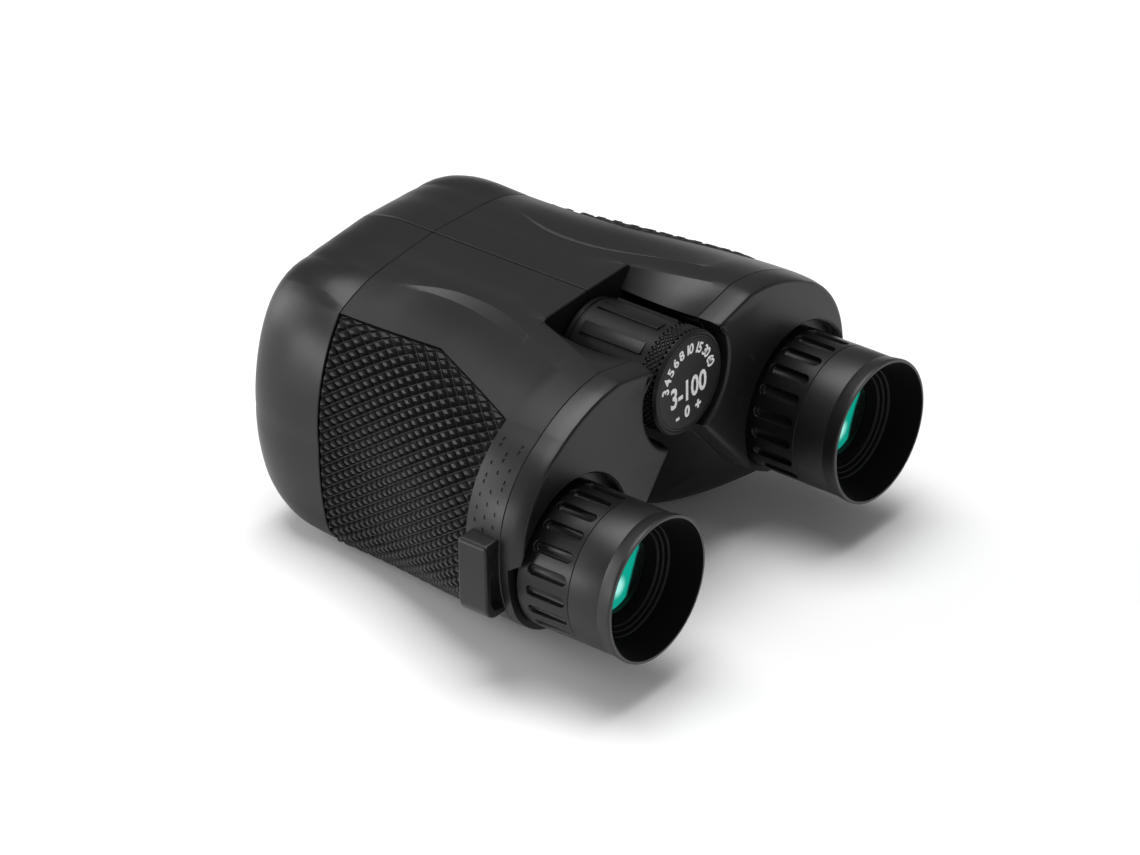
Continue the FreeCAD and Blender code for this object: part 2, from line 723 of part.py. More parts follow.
def shelf_shape():
    slab = box_shape((-OVERCUT, SHELF, BELLY), (EYE_X + 30.0, SHELF_FRONT, TOP))
    shape = body_loft(size("housing_wall") + size("running_fit")).common(slab)
    shape = shape.cut(rod_shape(CLEAR + LINER + size("running_fit"), SHELF - OVERCUT, SHELF_FRONT + OVERCUT,
                                0.0, HINGE_Z))
    holes = [(PRISM_WIDTH / 2 - 0.4, x, z) for x, z in
             ((OBJECTIVE_X, OBJECTIVE_Z), (MIDDLE_X, MIDDLE_Z), (EYE_X, 0.0))]
    holes += [(size("rod_radius") + size("seat_fit"), OBJECTIVE_X, ROD_Z)]
    holes += [(SCREW_SHANK, x, z) for x, z in SHELF_SCREWS]
    for radius, x, z in holes:
        shape = shape.cut(rod_shape(radius, SHELF - OVERCUT, SHELF_FRONT + OVERCUT, x, z))
    return shape


def shelf_screw_shape(x, z):
    head = rod_shape(SCREW_HEAD, SHELF - 1.4, SHELF, x, z)
    shank = rod_shape(SCREW_SHANK, SHELF - 0.4, SHELF_FRONT + SCREW_REACH, x, z)
    slot = box_shape((x - SCREW_HEAD, SHELF - 1.5, z - 0.25), (x + SCREW_HEAD, SHELF - 0.8, z + 0.25))
    return head.fuse(shank).cut(slot)


right_shelf = both_sides(computed("right_prism_shelf", shelf_shape()))
right_screws = both_sides(computed("right_shelf_screws", Part.makeCompound(
    [shelf_screw_shape(x, z) for x, z in SHELF_SCREWS])))


# ---------------------------------------------------------------- lenses

def lens(label, radius, rear, front, rear_curve, front_curve, x, z):
    """A lens with two bulging faces: a disc trimmed by two spheres."""
    disc = doc.addObject("Part::Cylinder", label + "_disc")
    disc.setExpression("Radius", bound(radius))
    disc.setExpression("Height", bound("(%s) - (%s)" % (front, rear)))
    place(disc, x, rear, z, Rotation(Vector(1, 0, 0), -90))
    trimmed = [disc]
    for side, curve, centre in (("front", front_curve, "(%s) - (%s)" % (front, front_curve)),
                                ("rear", rear_curve, "(%s) + (%s)" % (rear, rear_curve))):
        ball = doc.addObject("Part::Sphere", "%s_%s_curve" % (label, side))
        ball.setExpression("Radius", bound(curve))
        place(ball, x, centre, z)
        trimmed.append(ball)
    piece = doc.addObject("Part::MultiCommon", label)
    piece.Label = label
    piece.Shapes = trimmed
    return piece


def edge_drop(radius, curve):
    return "((%s) - sqrt((%s) ^ 2 - (%s) ^ 2))" % (curve, curve, radius)


# ---------------------------------------------------------------- objectives

OX = "objective_x"
OZ = "objective_height"
CELL_END = "(cell_start + cell_length)"
APERTURE = "(lens_radius - lens_lip)"
SEAT = "(cell_start + lens_seat)"
LENS_FRONT = "(cell_start + lens_seat + lens_thickness)"
RING_SEAT = "(%s - %s)" % (LENS_FRONT, edge_drop(APERTURE, "lens_front_curve"))
right_objective_lens = both_sides(lens(
    "right_objective_lens", "lens_radius", SEAT + " - " + edge_drop(APERTURE, "lens_rear_curve"), LENS_FRONT,
    "lens_rear_curve", "lens_front_curve", OX, OZ))
right_retainer = both_sides(turned("right_objective_retainer", [
    (APERTURE, RING_SEAT), ("lens_radius", RING_SEAT), ("lens_radius", CELL_END),
    (APERTURE + " + 0.3", CELL_END)], OX, OZ))
cell_ring = turned("cell_ring", [
    (APERTURE, "cell_start"), ("cell_radius", "cell_start"), ("cell_radius", CELL_END),
    ("lens_radius", CELL_END), ("lens_radius", SEAT), (APERTURE, SEAT)], OX, OZ)
CELL_SKIN = "cell_radius - 0.5"      # where the ear and the arm are rooted in the ring's wall
EAR_HALF = "(rod_radius + 1.3)"
EAR_TOP = "rod_rise + rod_radius + 1.2"
cell_ear = plate("cell_ear", [
    ("-" + EAR_HALF, CELL_SKIN), (EAR_HALF, CELL_SKIN), (EAR_HALF, EAR_TOP), ("-" + EAR_HALF, EAR_TOP)],
    "cell_start + ear_start", "ear_length", OX, OZ)
ARM_TIP = "sqrt(objective_x ^ 2 + (hinge_height - objective_height) ^ 2) - groove_radius - 0.3"
GROOVE_LOW = "(nut_start + (nut_length - groove_width) / 2)"
GROOVE_HIGH = "(nut_start + (nut_length + groove_width) / 2)"
focus_arm = plate("focus_arm", [
    (CELL_SKIN, "-arm_half_height"), (ARM_TIP, "-arm_half_height"), (ARM_TIP, "arm_half_height"),
    (CELL_SKIN, "arm_half_height")],
    GROOVE_LOW + " + key_play", "groove_width - 2 * key_play", OX, OZ, ARM_TURN)
rod_bore = rod("rod_bore", "rod_radius + running_fit", "cell_start", CELL_END, OX, OZ + " + rod_rise")
right_cell = both_sides(cut("right_objective_cell", fuse("cell_blank", [cell_ring, cell_ear, focus_arm]),
                            rod_bore))
right_rod = both_sides(rod("right_guide_rod", "rod_radius", "shelf_start", "overall_length - front_wall",
                           OX, OZ + " + rod_rise"))


# ---------------------------------------------------------------- eyepieces

EX = "eye_spacing / 2"
FLANGE = "(tube_radius + flange_reach)"
FLANGE_END = "(rear_seam + flange_wall)"
STOP = "(tube_end - stop_wall)"
right_tube = both_sides(turned("right_eyepiece_tube", [
    ("tube_bore", "tube_start"), ("tube_radius", "tube_start"), ("tube_radius", "rear_seam"),
    (FLANGE, "rear_seam"), (FLANGE, FLANGE_END), ("tube_radius", FLANGE_END), ("tube_radius", "tube_end"),
    ("tube_bore - stop_reach", "tube_end"), ("tube_bore - stop_reach", STOP), ("tube_bore", STOP)], EX))
NECK = "(tube_radius + 0.9)"
NECK_START = "(ring_start - 4)"
RING_END = "(rear_seam - cover_floor - 0.6)"
RING_BORE = "(tube_radius + running_fit)"
RING_OUTLINE = [
    (RING_BORE, NECK_START), (NECK, NECK_START), (NECK, "ring_start"), ("ring_radius", "ring_start"),
    ("ring_radius", RING_END), (RING_BORE, RING_END)]


def slotted_ring(label):
    """The ring round the eyepiece, with round-ended grip slots cut into its wall."""
    body = turned(label, RING_OUTLINE, EX)
    doc.recompute()
    solid_volume = body.Shape.Volume
    sketch = new_sketch(body, "XY_Plane", label + "_slot", "ring_radius - slot_depth")
    draw_slot(sketch, "slot_start", "slot_end", "slot_width")
    doc.recompute()
    pocket = body.newObject("PartDesign::Pocket", label + "_slot_cut")
    pocket.Profile = sketch
    pocket.setExpression("Length", bound("slot_depth + 1"))
    pocket.Reversed = True
    pattern = body.newObject("PartDesign::PolarPattern", label + "_slots")
    pattern.Originals = [pocket]
    pattern.Axis = (origin_plane(body, "Y_Axis"), [""])
    pattern.Angle = 360
    pattern.setExpression("Occurrences", bound("slot_count"))
    body.Tip = pattern
    doc.recompute()
    if body.Shape.Volume > solid_volume - 1:
        raise ValueError(label + ": the slots cut nothing")
    return body


right_ring = keep(slotted_ring("right_dioptre_ring"))
left_ring = mirrored(right_ring, "left_ocular_ring")
THROAT = "(eye_lens_radius - 0.6)"
CONE = "(cup_radius - 1.2 - %s)" % THROAT
SLEEVE_START = "(%s - 0.3)" % NECK_START
SLEEVE_END = "(ring_start - 0.1)"


def cone(share):
    """Radius of the stepped cone inside the eyecup, from its throat to its mouth."""
    return "%s + %s * %s" % (THROAT, share, CONE)


right_eyecup = both_sides(turned("right_eyecup", [
    ("eye_lens_radius - 1.5", "9.2"), (THROAT, "8.1"), (cone("0.13"), "8"), (cone("0.28"), "5.8"),
    (cone("0.43"), "5.6"), (cone("0.63"), "2.9"), (cone("0.78"), "2.6"), (cone("1"), "0.5"),
    ("cup_radius - 0.7", "0"), ("cup_radius - 0.2", "0"), ("cup_radius", "0.4"), ("ring_radius", "3.4"),
    ("ring_radius", SLEEVE_END), (NECK, SLEEVE_END), (NECK, SLEEVE_START),
    ("tube_radius - 0.2", SLEEVE_START), ("tube_bore + 0.35", "8.4"), ("eye_lens_radius + 0.1", "9.4")], EX))
CELL = "(tube_bore - running_fit)"
OCULAR_END = "(tube_end - stop_wall - dioptre_travel - 0.8)"
EYE_APERTURE = "(eye_lens_radius - 0.9)"
EYE_SEAT = "(ocular_start + ocular_lip)"
EYE_FRONT = "(ocular_start + ocular_lip + eye_lens_length)"
FIELD_REAR = "(%s + lens_space)" % EYE_FRONT
FIELD_FRONT = "(%s + lens_space + field_lens_length)" % EYE_FRONT
FIELD_DROP = edge_drop(EYE_APERTURE, "field_curve")
right_ocular = both_sides(turned("right_ocular_cell", [
    (EYE_APERTURE, "ocular_start"), (CELL, "ocular_start"), (CELL, OCULAR_END),
    ("eye_lens_radius", OCULAR_END), ("eye_lens_radius", EYE_SEAT), (EYE_APERTURE, EYE_SEAT)], EX))
EYE_REAR = "%s - %s" % (EYE_SEAT, edge_drop(EYE_APERTURE, "eye_rear_curve"))
right_eye_lens = both_sides(lens(
    "right_eye_lens", "eye_lens_radius", EYE_REAR, EYE_FRONT, "eye_rear_curve", "eye_front_curve", EX, "0"))
right_field_lens = both_sides(lens(
    "right_field_lens", "eye_lens_radius", FIELD_REAR, FIELD_FRONT, "field_curve", "field_curve", EX, "0"))
SPACER_START = "%s - %s" % (EYE_FRONT, edge_drop(EYE_APERTURE, "eye_front_curve"))
SPACER_END = "%s + %s" % (FIELD_REAR, FIELD_DROP)
right_spacer = both_sides(turned("right_ocular_spacer", [
    (EYE_APERTURE, SPACER_START), ("eye_lens_radius", SPACER_START), ("eye_lens_radius", SPACER_END),
    (EYE_APERTURE, SPACER_END)], EX))
RETAINER_START = "%s - %s" % (FIELD_FRONT, FIELD_DROP)
right_ocular_retainer = both_sides(turned("right_ocular_retainer", [
    (EYE_APERTURE, RETAINER_START), ("eye_lens_radius", RETAINER_START), ("eye_lens_radius", OCULAR_END),
    (EYE_APERTURE, OCULAR_END)], EX))


# ---------------------------------------------------------------- hinge

HZ = "hinge_height"
shaft_blank = turned("shaft_blank", [
    ("shaft_bore", "shaft_start"), ("shaft_radius", "shaft_start"),
    ("shaft_radius", "rear_knuckles - collar_length"),
    ("shaft_radius + collar_height", "rear_knuckles - collar_length"),
    ("shaft_radius + collar_height", "rear_knuckles"), ("shaft_radius", "rear_knuckles"),
    ("shaft_radius", "shaft_end"), ("shaft_bore", "shaft_end")], "0", HZ)
KEY_HALF = "key_width / 2"
SLOT_HALF = "(key_width / 2 + key_play)"
shaft_slots = plate("shaft_slots", [
    ("-" + SLOT_HALF, "-6"), (SLOT_HALF, "-6"), (SLOT_HALF, "6"), ("-" + SLOT_HALF, "6")],
    "nut_start - focus_far - 0.3", "nut_length + focus_far + focus_near + 0.6", "0", HZ)
keep(cut("hinge_shaft", shaft_blank, shaft_slots))
FRONT_END = "(front_knuckles + 2 * knuckle_length + washer_thickness + 2 * running_fit)"
SEATED = "(shaft_radius + seat_fit)"
keep(turned("hinge_nut", [
    (SEATED, FRONT_END), ("shaft_radius + nut_wall", FRONT_END),
    ("shaft_radius + nut_wall", FRONT_END + " + nut_wall"),
    ("shaft_radius + nut_wall / 2", FRONT_END + " + 2"), (SEATED, FRONT_END + " + 2")], "0", HZ))


def washer(label, start):
    return turned(label, [
        (SEATED, start), ("knuckle_radius - 0.1", start),
        ("knuckle_radius - 0.1", start + " + washer_thickness"),
        (SEATED, start + " + washer_thickness")], "0", HZ)


keep(group("friction_washers", [
    washer("rear_washer", "rear_knuckles + knuckle_length + running_fit"),
    washer("front_washer", "front_knuckles + knuckle_length + running_fit")]))
keep(turned("nose_cap", [
    ("0", "shaft_end - 1.2"), ("shaft_bore", "shaft_end - 1.2"), ("shaft_bore", "shaft_end"),
    ("spool_radius", "shaft_end"), ("spool_radius", "shaft_end + 2.2"),
    ("spool_radius - 0.8", "shaft_end + 3"), ("0", "shaft_end + 3")], "0", HZ))


# ---------------------------------------------------------------- focus wheel, screw and nut

def drum(label):
    """The grooved part of the focus wheel: a turned drum with raised finger pads."""
    body = turned(label, [
        ("screw_radius", "wheel_face + 1"), ("dial_radius - 0.8", "wheel_face + 1"),
        ("dial_radius - 0.8", "ring_end"), ("drum_radius", "ring_end"), ("drum_radius", "drum_end - 1.7"),
        ("drum_radius - 0.4", "drum_end - 1.7"), ("drum_radius - 0.4", "drum_end"),
        ("shaft_radius + running_fit", "drum_end"), ("shaft_radius + running_fit", "shaft_start - 0.3"),
        ("screw_radius", "shaft_start - 0.3")], "0", HZ)
    doc.recompute()
    sketch = new_sketch(body, "XY_Plane", label + "_pad_outline", "drum_radius - 0.3")
    draw_outline(sketch, [("-pad_width / 2", "pad_start"), ("pad_width / 2", "pad_start"),
                          ("pad_width / 2", "pad_end"), ("-pad_width / 2", "pad_end")])
    doc.recompute()
    pad = body.newObject("PartDesign::Pad", label + "_pad")
    pad.Profile = sketch
    pad.setExpression("Length", bound("wheel_radius - drum_radius + 0.2"))
    pattern = body.newObject("PartDesign::PolarPattern", label + "_pads")
    pattern.Originals = [pad]
    pattern.Axis = (origin_plane(body, "Y_Axis"), [""])
    pattern.Angle = 360
    pattern.setExpression("Occurrences", bound("pad_count"))
    body.Tip = pattern
    return body


keep(drum("focus_drum"))
keep(turned("knurled_ring", [
    ("dial_radius - 0.8", "wheel_face + 1"), ("dial_radius", "wheel_face + 1"), ("dial_radius", "wheel_face"),
    ("wheel_radius - 0.5", "wheel_face"), ("wheel_radius", "wheel_face + 0.7"),
    ("wheel_radius", "ring_end - 0.3"), ("wheel_radius - 0.3", "ring_end"),
    ("dial_radius - 0.8", "ring_end")], "0", HZ))
keep(rod("dial_disc", "dial_radius", "wheel_face + 0.1", "wheel_face + 1", "0", HZ))
SCREW_END = "nut_start + nut_length + focus_near - 0.5"
keep(rod("focus_screw", "screw_radius", "wheel_face + 1", SCREW_END, "0", HZ))
nut_tube = turned("nut_tube", [
    ("screw_radius + running_fit", "nut_start"), ("shaft_bore - running_fit", "nut_start"),
    ("shaft_bore - running_fit", "nut_start + nut_length"),
    ("screw_radius + running_fit", "nut_start + nut_length")], "0", HZ)


def key(label, side):
    low = side + "(shaft_bore - 0.4)"
    high = side + "(groove_radius - 0.2)"
    return plate(label, [("-" + KEY_HALF, low), (KEY_HALF, low), (KEY_HALF, high), ("-" + KEY_HALF, high)],
                 "nut_start + 0.5", "nut_length - 1", "0", HZ)


keep(fuse("focus_nut", [nut_tube, key("upper_key", ""), key("lower_key", "-")]))
SPOOL_START = "(nut_start + 0.2)"
SPOOL_END = "(nut_start + nut_length - 0.2)"
spool_blank = turned("spool_blank", [
    ("shaft_radius + running_fit", SPOOL_START), ("spool_radius", SPOOL_START), ("spool_radius", GROOVE_LOW),
    ("groove_radius", GROOVE_LOW), ("groove_radius", GROOVE_HIGH), ("spool_radius", GROOVE_HIGH),
    ("spool_radius", SPOOL_END), ("shaft_radius + running_fit", SPOOL_END)], "0", HZ)
keyway = plate("keyway", [
    ("-" + KEY_HALF, "-(groove_radius - 0.2)"), (KEY_HALF, "-(groove_radius - 0.2)"),
    (KEY_HALF, "groove_radius - 0.2"), ("-" + KEY_HALF, "groove_radius - 0.2")],
    "nut_start", "nut_length", "0", HZ)
keep(cut("focus_spool", spool_blank, keyway))


# ---------------------------------------------------------------- check and write

doc.recompute()
for piece in doc.Objects:
    if "Invalid" in piece.State or "Error" in piece.State:
        raise ValueError("%s: %s" % (piece.Name, piece.State))
os.makedirs("parts", exist_ok=True)
for label in nodes:
    piece = doc.getObjectsByLabel(label)[0]
    if piece.Shape.isNull() or not piece.Shape.isValid():
        raise ValueError(label + ": not a valid shape")
    piece.Shape.exportStep("parts/%s.step" % label)
print("%d pieces written" % len(nodes))
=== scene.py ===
import json
import math

import bmesh
import bpy
from mathutils import Matrix, Quaternion, Vector


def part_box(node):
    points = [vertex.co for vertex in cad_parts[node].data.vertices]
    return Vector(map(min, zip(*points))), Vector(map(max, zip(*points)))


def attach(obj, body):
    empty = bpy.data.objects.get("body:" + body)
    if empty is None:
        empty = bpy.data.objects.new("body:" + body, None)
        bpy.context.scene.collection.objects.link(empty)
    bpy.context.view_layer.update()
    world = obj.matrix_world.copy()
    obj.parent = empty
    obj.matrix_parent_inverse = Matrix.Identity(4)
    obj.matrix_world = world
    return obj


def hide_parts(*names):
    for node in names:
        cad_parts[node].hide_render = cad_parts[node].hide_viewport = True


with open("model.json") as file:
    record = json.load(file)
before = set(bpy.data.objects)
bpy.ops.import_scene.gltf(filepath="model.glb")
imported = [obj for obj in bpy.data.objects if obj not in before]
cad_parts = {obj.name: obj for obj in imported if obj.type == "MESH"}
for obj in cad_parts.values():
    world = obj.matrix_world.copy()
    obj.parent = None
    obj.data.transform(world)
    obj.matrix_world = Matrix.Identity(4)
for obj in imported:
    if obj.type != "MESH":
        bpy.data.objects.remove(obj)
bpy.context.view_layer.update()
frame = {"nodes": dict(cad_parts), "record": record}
scene = bpy.context.scene


# ------------------------------------------------------------------ camera, floor and light
# The binoculars stand on a plain pale floor under soft studio light.  The camera looks down
# on them from behind and to the left with a long lens, so the lines stay almost parallel.

AZIMUTH = math.radians(-51.64)      # from behind, round to the left
ELEVATION = math.radians(31.21)
ROLL = math.radians(-0.88)
DISTANCE = 1.395
AIM = Vector((-0.0177, -0.0160, 0.0385))
away = Vector((math.sin(AZIMUTH) * math.cos(ELEVATION), -math.cos(AZIMUTH) * math.cos(ELEVATION),
               math.sin(ELEVATION)))
camera = bpy.data.objects.new("camera", bpy.data.cameras.new("camera"))
camera.data.lens = 221.9
camera.data.sensor_width = 36.0
camera.data.clip_end = 20.0
turn = away.to_track_quat("Z", "Y") @ Quaternion((0, 0, 1), ROLL)
camera.matrix_world = Matrix.Translation(AIM + away * DISTANCE) @ turn.to_matrix().to_4x4()
scene.collection.objects.link(camera)
scene.camera = camera
scene.view_settings.view_transform = "Standard"

sheet = bmesh.new()
bmesh.ops.create_grid(sheet, x_segments=1, y_segments=1, size=6.0)
floor_mesh = bpy.data.meshes.new("floor")
sheet.to_mesh(floor_mesh)
sheet.free()
floor = bpy.data.objects.new("floor", floor_mesh)
scene.collection.objects.link(floor)
floor_paint = bpy.data.materials.new("pale_floor")
floor_paint.use_nodes = True
paint = floor_paint.node_tree.nodes["Principled BSDF"].inputs
paint["Base Color"].default_value = (0.88, 0.88, 0.88, 1)
paint["Roughness"].default_value = 0.9
paint["Specular IOR Level"].default_value = 0.0
floor_mesh.materials.append(floor_paint)

world = bpy.data.worlds.new("studio")
world.use_nodes = True
sky = world.node_tree.nodes["Background"].inputs
sky["Color"].default_value = (1, 1, 1, 1)
sky["Strength"].default_value = 0.25
scene.world = world

LAMPS = (("overhead", (0.08, 0.12, 1.25), 0.9, 16.5), ("front left", (-0.66, 1.12, 0.55), 0.8, 7.0),
         ("front", (-0.22, 1.30, 0.26), 0.7, 4.5), ("low left", (-1.05, 0.60, 0.20), 0.3, 3.5),
         ("behind", (-0.5, -1.2, 0.6), 0.6, 1.0))         # name, place, width and power
for name, place, width, power in LAMPS:
    lamp = bpy.data.objects.new(name, bpy.data.lights.new(name, "AREA"))
    lamp.data.size = width
    lamp.data.energy = power
    lamp.location = place
    lamp.rotation_euler = (Vector(place) - AIM).to_track_quat("Z", "Y").to_euler()
    scene.collection.objects.link(lamp)


# ------------------------------------------------------------------ housings
# Each half body is one moulded shell of satin black plastic, about 2 mm thick: the top plate,
# the side, the belly and the slanted inner wall.  A round trough for the focus wheel is moulded
# into its rear half and ends under the top plate's lip.  Hinge knuckles and the strap lug are
# part of it.  All lengths from here on are millimetres from the eyecups' rims and the eyepiece
# axes, and each finished mesh is then set in place.

MM = 0.001
cup_low, cup_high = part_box("right_eyecup")
shell_low, shell_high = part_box("right_housing")
nose_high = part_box("right_front_cover")[1]
RIMS = cup_low.y
AXIS_Z = (cup_low.z + cup_high.z) / 2
EYE_X = (cup_low.x + cup_high.x) / 2 / MM
REAR_SEAM = (shell_low.y - RIMS) / MM
FRONT_SEAM = (shell_high.y - RIMS) / MM
NOSE_TIP = (nose_high.y - RIMS) / MM
NOSE_X = nose_high.x / MM - 0.15
TOP = (shell_high.z - AXIS_Z) / MM
BELLY = -AXIS_Z / MM
wheel_low, wheel_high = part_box("knurled_ring")
HINGE_Z = ((wheel_low.z + wheel_high.z) / 2 - AXIS_Z) / MM
SEAM = 0.15                         # from the centre plane to each top plate
LIP = 45.5                          # where the trough ends under the top plate
TROUGH = 13.4                       # radius of the room for the focus wheel
HINGE_ROOM = 6.0                    # radius of the room for the hinge
FOLD_HALF = math.radians(18.9)      # slant of the inner wall
WALL_GAP = 0.35                     # from the hinge's axis to the slanted wall's plane

FRONT_CORNERS = {
    "seam": (SEAM, TOP), "ridge": (14.16, TOP - 0.8), "shoulder_rise": (NOSE_X - 15.3, TOP - 2.1),
    "shoulder": (NOSE_X - 7.8, TOP - 5.1), "flank_high": (NOSE_X - 2.9, TOP - 13.8),
    "flank": (NOSE_X, 2.0), "flank_low": (NOSE_X - 0.2, -7.0), "turn": (NOSE_X - 1.4, BELLY + 8.9),
    "turn_low": (NOSE_X - 4.4, BELLY + 2.6), "belly_out": (NOSE_X - 8.1, BELLY),
    "belly_in": (18.6, BELLY), "keel": (16.43, BELLY + 0.8), "gap_low": (15.18, BELLY + 2.7)}
REAR_CORNERS = {
    "seam": (SEAM, TOP - 6.7), "ridge": (EYE_X - 15.6, TOP - 1.95),
    "shoulder_rise": (EYE_X - 4.6, TOP - 3.8), "shoulder": (EYE_X + 4.7, TOP - 8.3),
    "flank_high": (EYE_X + 12.8, TOP - 15.5), "flank": (EYE_X + 16.8, 4.8),
    "flank_low": (EYE_X + 16.3, -2.5), "turn": (EYE_X + 14.4, -8.3), "turn_low": (EYE_X + 8.9, -13.9),
    "belly_out": (EYE_X, -16.5), "belly_in": (EYE_X - 5.6, -15.5), "keel": (EYE_X - 13.0, -11.0),
    "gap_low": (EYE_X - 20.0, -4.8)}
TROUGH_SEAM = (SEAM, TOP - 16.6)    # where the facet beside the wheel points, at the lip


def lerp(a, b, share):
    return a + (b - a) * share


def between(value, low, high):
    """Where a value lies between two limits, from 0 to 1."""
    return min(max((value - low) / (high - low), 0.0), 1.0)


def follow(points, value):
    """The height at a value of a line drawn straight from point to point."""
    for (x0, y0), (x1, y1) in zip(points, points[1:]):
        if value <= x1:
            return lerp(y0, y1, between(value, x0, x1))
    return points[-1][1]


def corners_at(y, beside_wheel):
    """The half body's named corners at one station."""
    along = between(y, REAR_SEAM, FRONT_SEAM)
    side = (1 + math.cos(math.pi * along)) / 2
    ridge = 1 - between(y, REAR_SEAM, LIP)
    corners = {}
    for name, front in FRONT_CORNERS.items():
        share = side
        if name in ("seam", "ridge"):
            share = ridge
        elif name in ("belly_out", "belly_in", "keel", "gap_low"):
            share = ridge ** 1.5
        if name == "seam" and beside_wheel:
            front = TROUGH_SEAM
        corners[name] = Vector(front).lerp(Vector(REAR_CORNERS[name]), share)
    return corners


def circle_through(a, b, c):
    """Centre and radius of the circle through three points."""
    d = 2 * (a.x * (b.y - c.y) + b.x * (c.y - a.y) + c.x * (a.y - b.y))
    squares = a.length_squared, b.length_squared, c.length_squared
    centre = Vector((
        (squares[0] * (b.y - c.y) + squares[1] * (c.y - a.y) + squares[2] * (a.y - b.y)) / d,
        (squares[0] * (c.x - b.x) + squares[1] * (a.x - c.x) + squares[2] * (b.x - a.x)) / d))
    return centre, (a - centre).length


def arc(a, b, c, count):
    """Points on the arc from a over b to c, without c."""
    centre, radius = circle_through(a, b, c)
    start = math.atan2(a.y - centre.y, a.x - centre.x)
    sweep = (math.atan2(c.y - centre.y, c.x - centre.x) - start) % (2 * math.pi)
    if (b - a).cross(c - a) < 0:
        sweep -= 2 * math.pi
    angles = [start + sweep * i / count for i in range(count)]
    return [centre + Vector((math.cos(t), math.sin(t))) * radius for t in angles]


def line(a, b, count):
    return [a.lerp(b, i / count) for i in range(count)]


def inset(points, depth):
    """A closed outline moved inwards, corner by corner."""
    moved = []
    for i, point in enumerate(points):
        before = (point - points[i - 1]).normalized()
        after = (points[(i + 1) % len(points)] - point).normalized()
        inward = Vector((before.y, -before.x)) + Vector((after.y, -after.x))
        moved.append(point + inward * (depth / max(1 + before.dot(after), 0.35)))
    return moved


# A shallow crescent is sunk into the top, between these two lines of (station, x).
WEDGE_TOP = ((26.0, 26.4), (33.6, 24.6), (40.0, 21.9), (46.2, 18.9), (50.5, 17.1), (54.6, 15.8),
             (58.4, 15.1), (62.2, 14.8), (66.2, 14.9), (70.2, 15.6), (77.3, 18.3), (85.0, 20.0))
WEDGE_FOOT = ((26.0, 27.7), (33.6, 25.2), (40.4, 23.0), (47.2, 20.8), (51.7, 19.3), (56.2, 18.2),
              (61.0, 17.3), (65.6, 17.0), (69.0, 17.2), (72.1, 17.6), (77.3, 18.8), (85.0, 20.6))
WEDGE_DEPTH = 1.0
WEDGE_START, WEDGE_END = 33.6, 77.3
GRIP_START, GRIP_BEND = 35.0, 59.0
GRIP_DEPTH = 1.0
GRIP_LOW = 26.0                     # x of the grip panel's lower edge, on the belly


def grip_edge(y):
    """x of the grip panel's top edge."""
    return lerp(39.5, 30.0, between(y, GRIP_START, GRIP_BEND))


def hinge_arc(radius, end, count):
    """Points round the hinge axis, from the slanted inner wall up to an end point."""
    reach = -WALL_GAP * math.sin(FOLD_HALF) + math.sqrt(radius ** 2 - (WALL_GAP * math.cos(FOLD_HALF)) ** 2)
    foot = Vector((WALL_GAP + reach * math.sin(FOLD_HALF), HINGE_Z - reach * math.cos(FOLD_HALF)))
    start = math.atan2(foot.y - HINGE_Z, foot.x)
    stop = math.atan2(end.y - HINGE_Z, end.x)
    angles = [lerp(start, stop, i / count) for i in range(count)]
    return foot, [Vector((math.cos(t), math.sin(t))) * radius + Vector((0, HINGE_Z)) for t in angles]


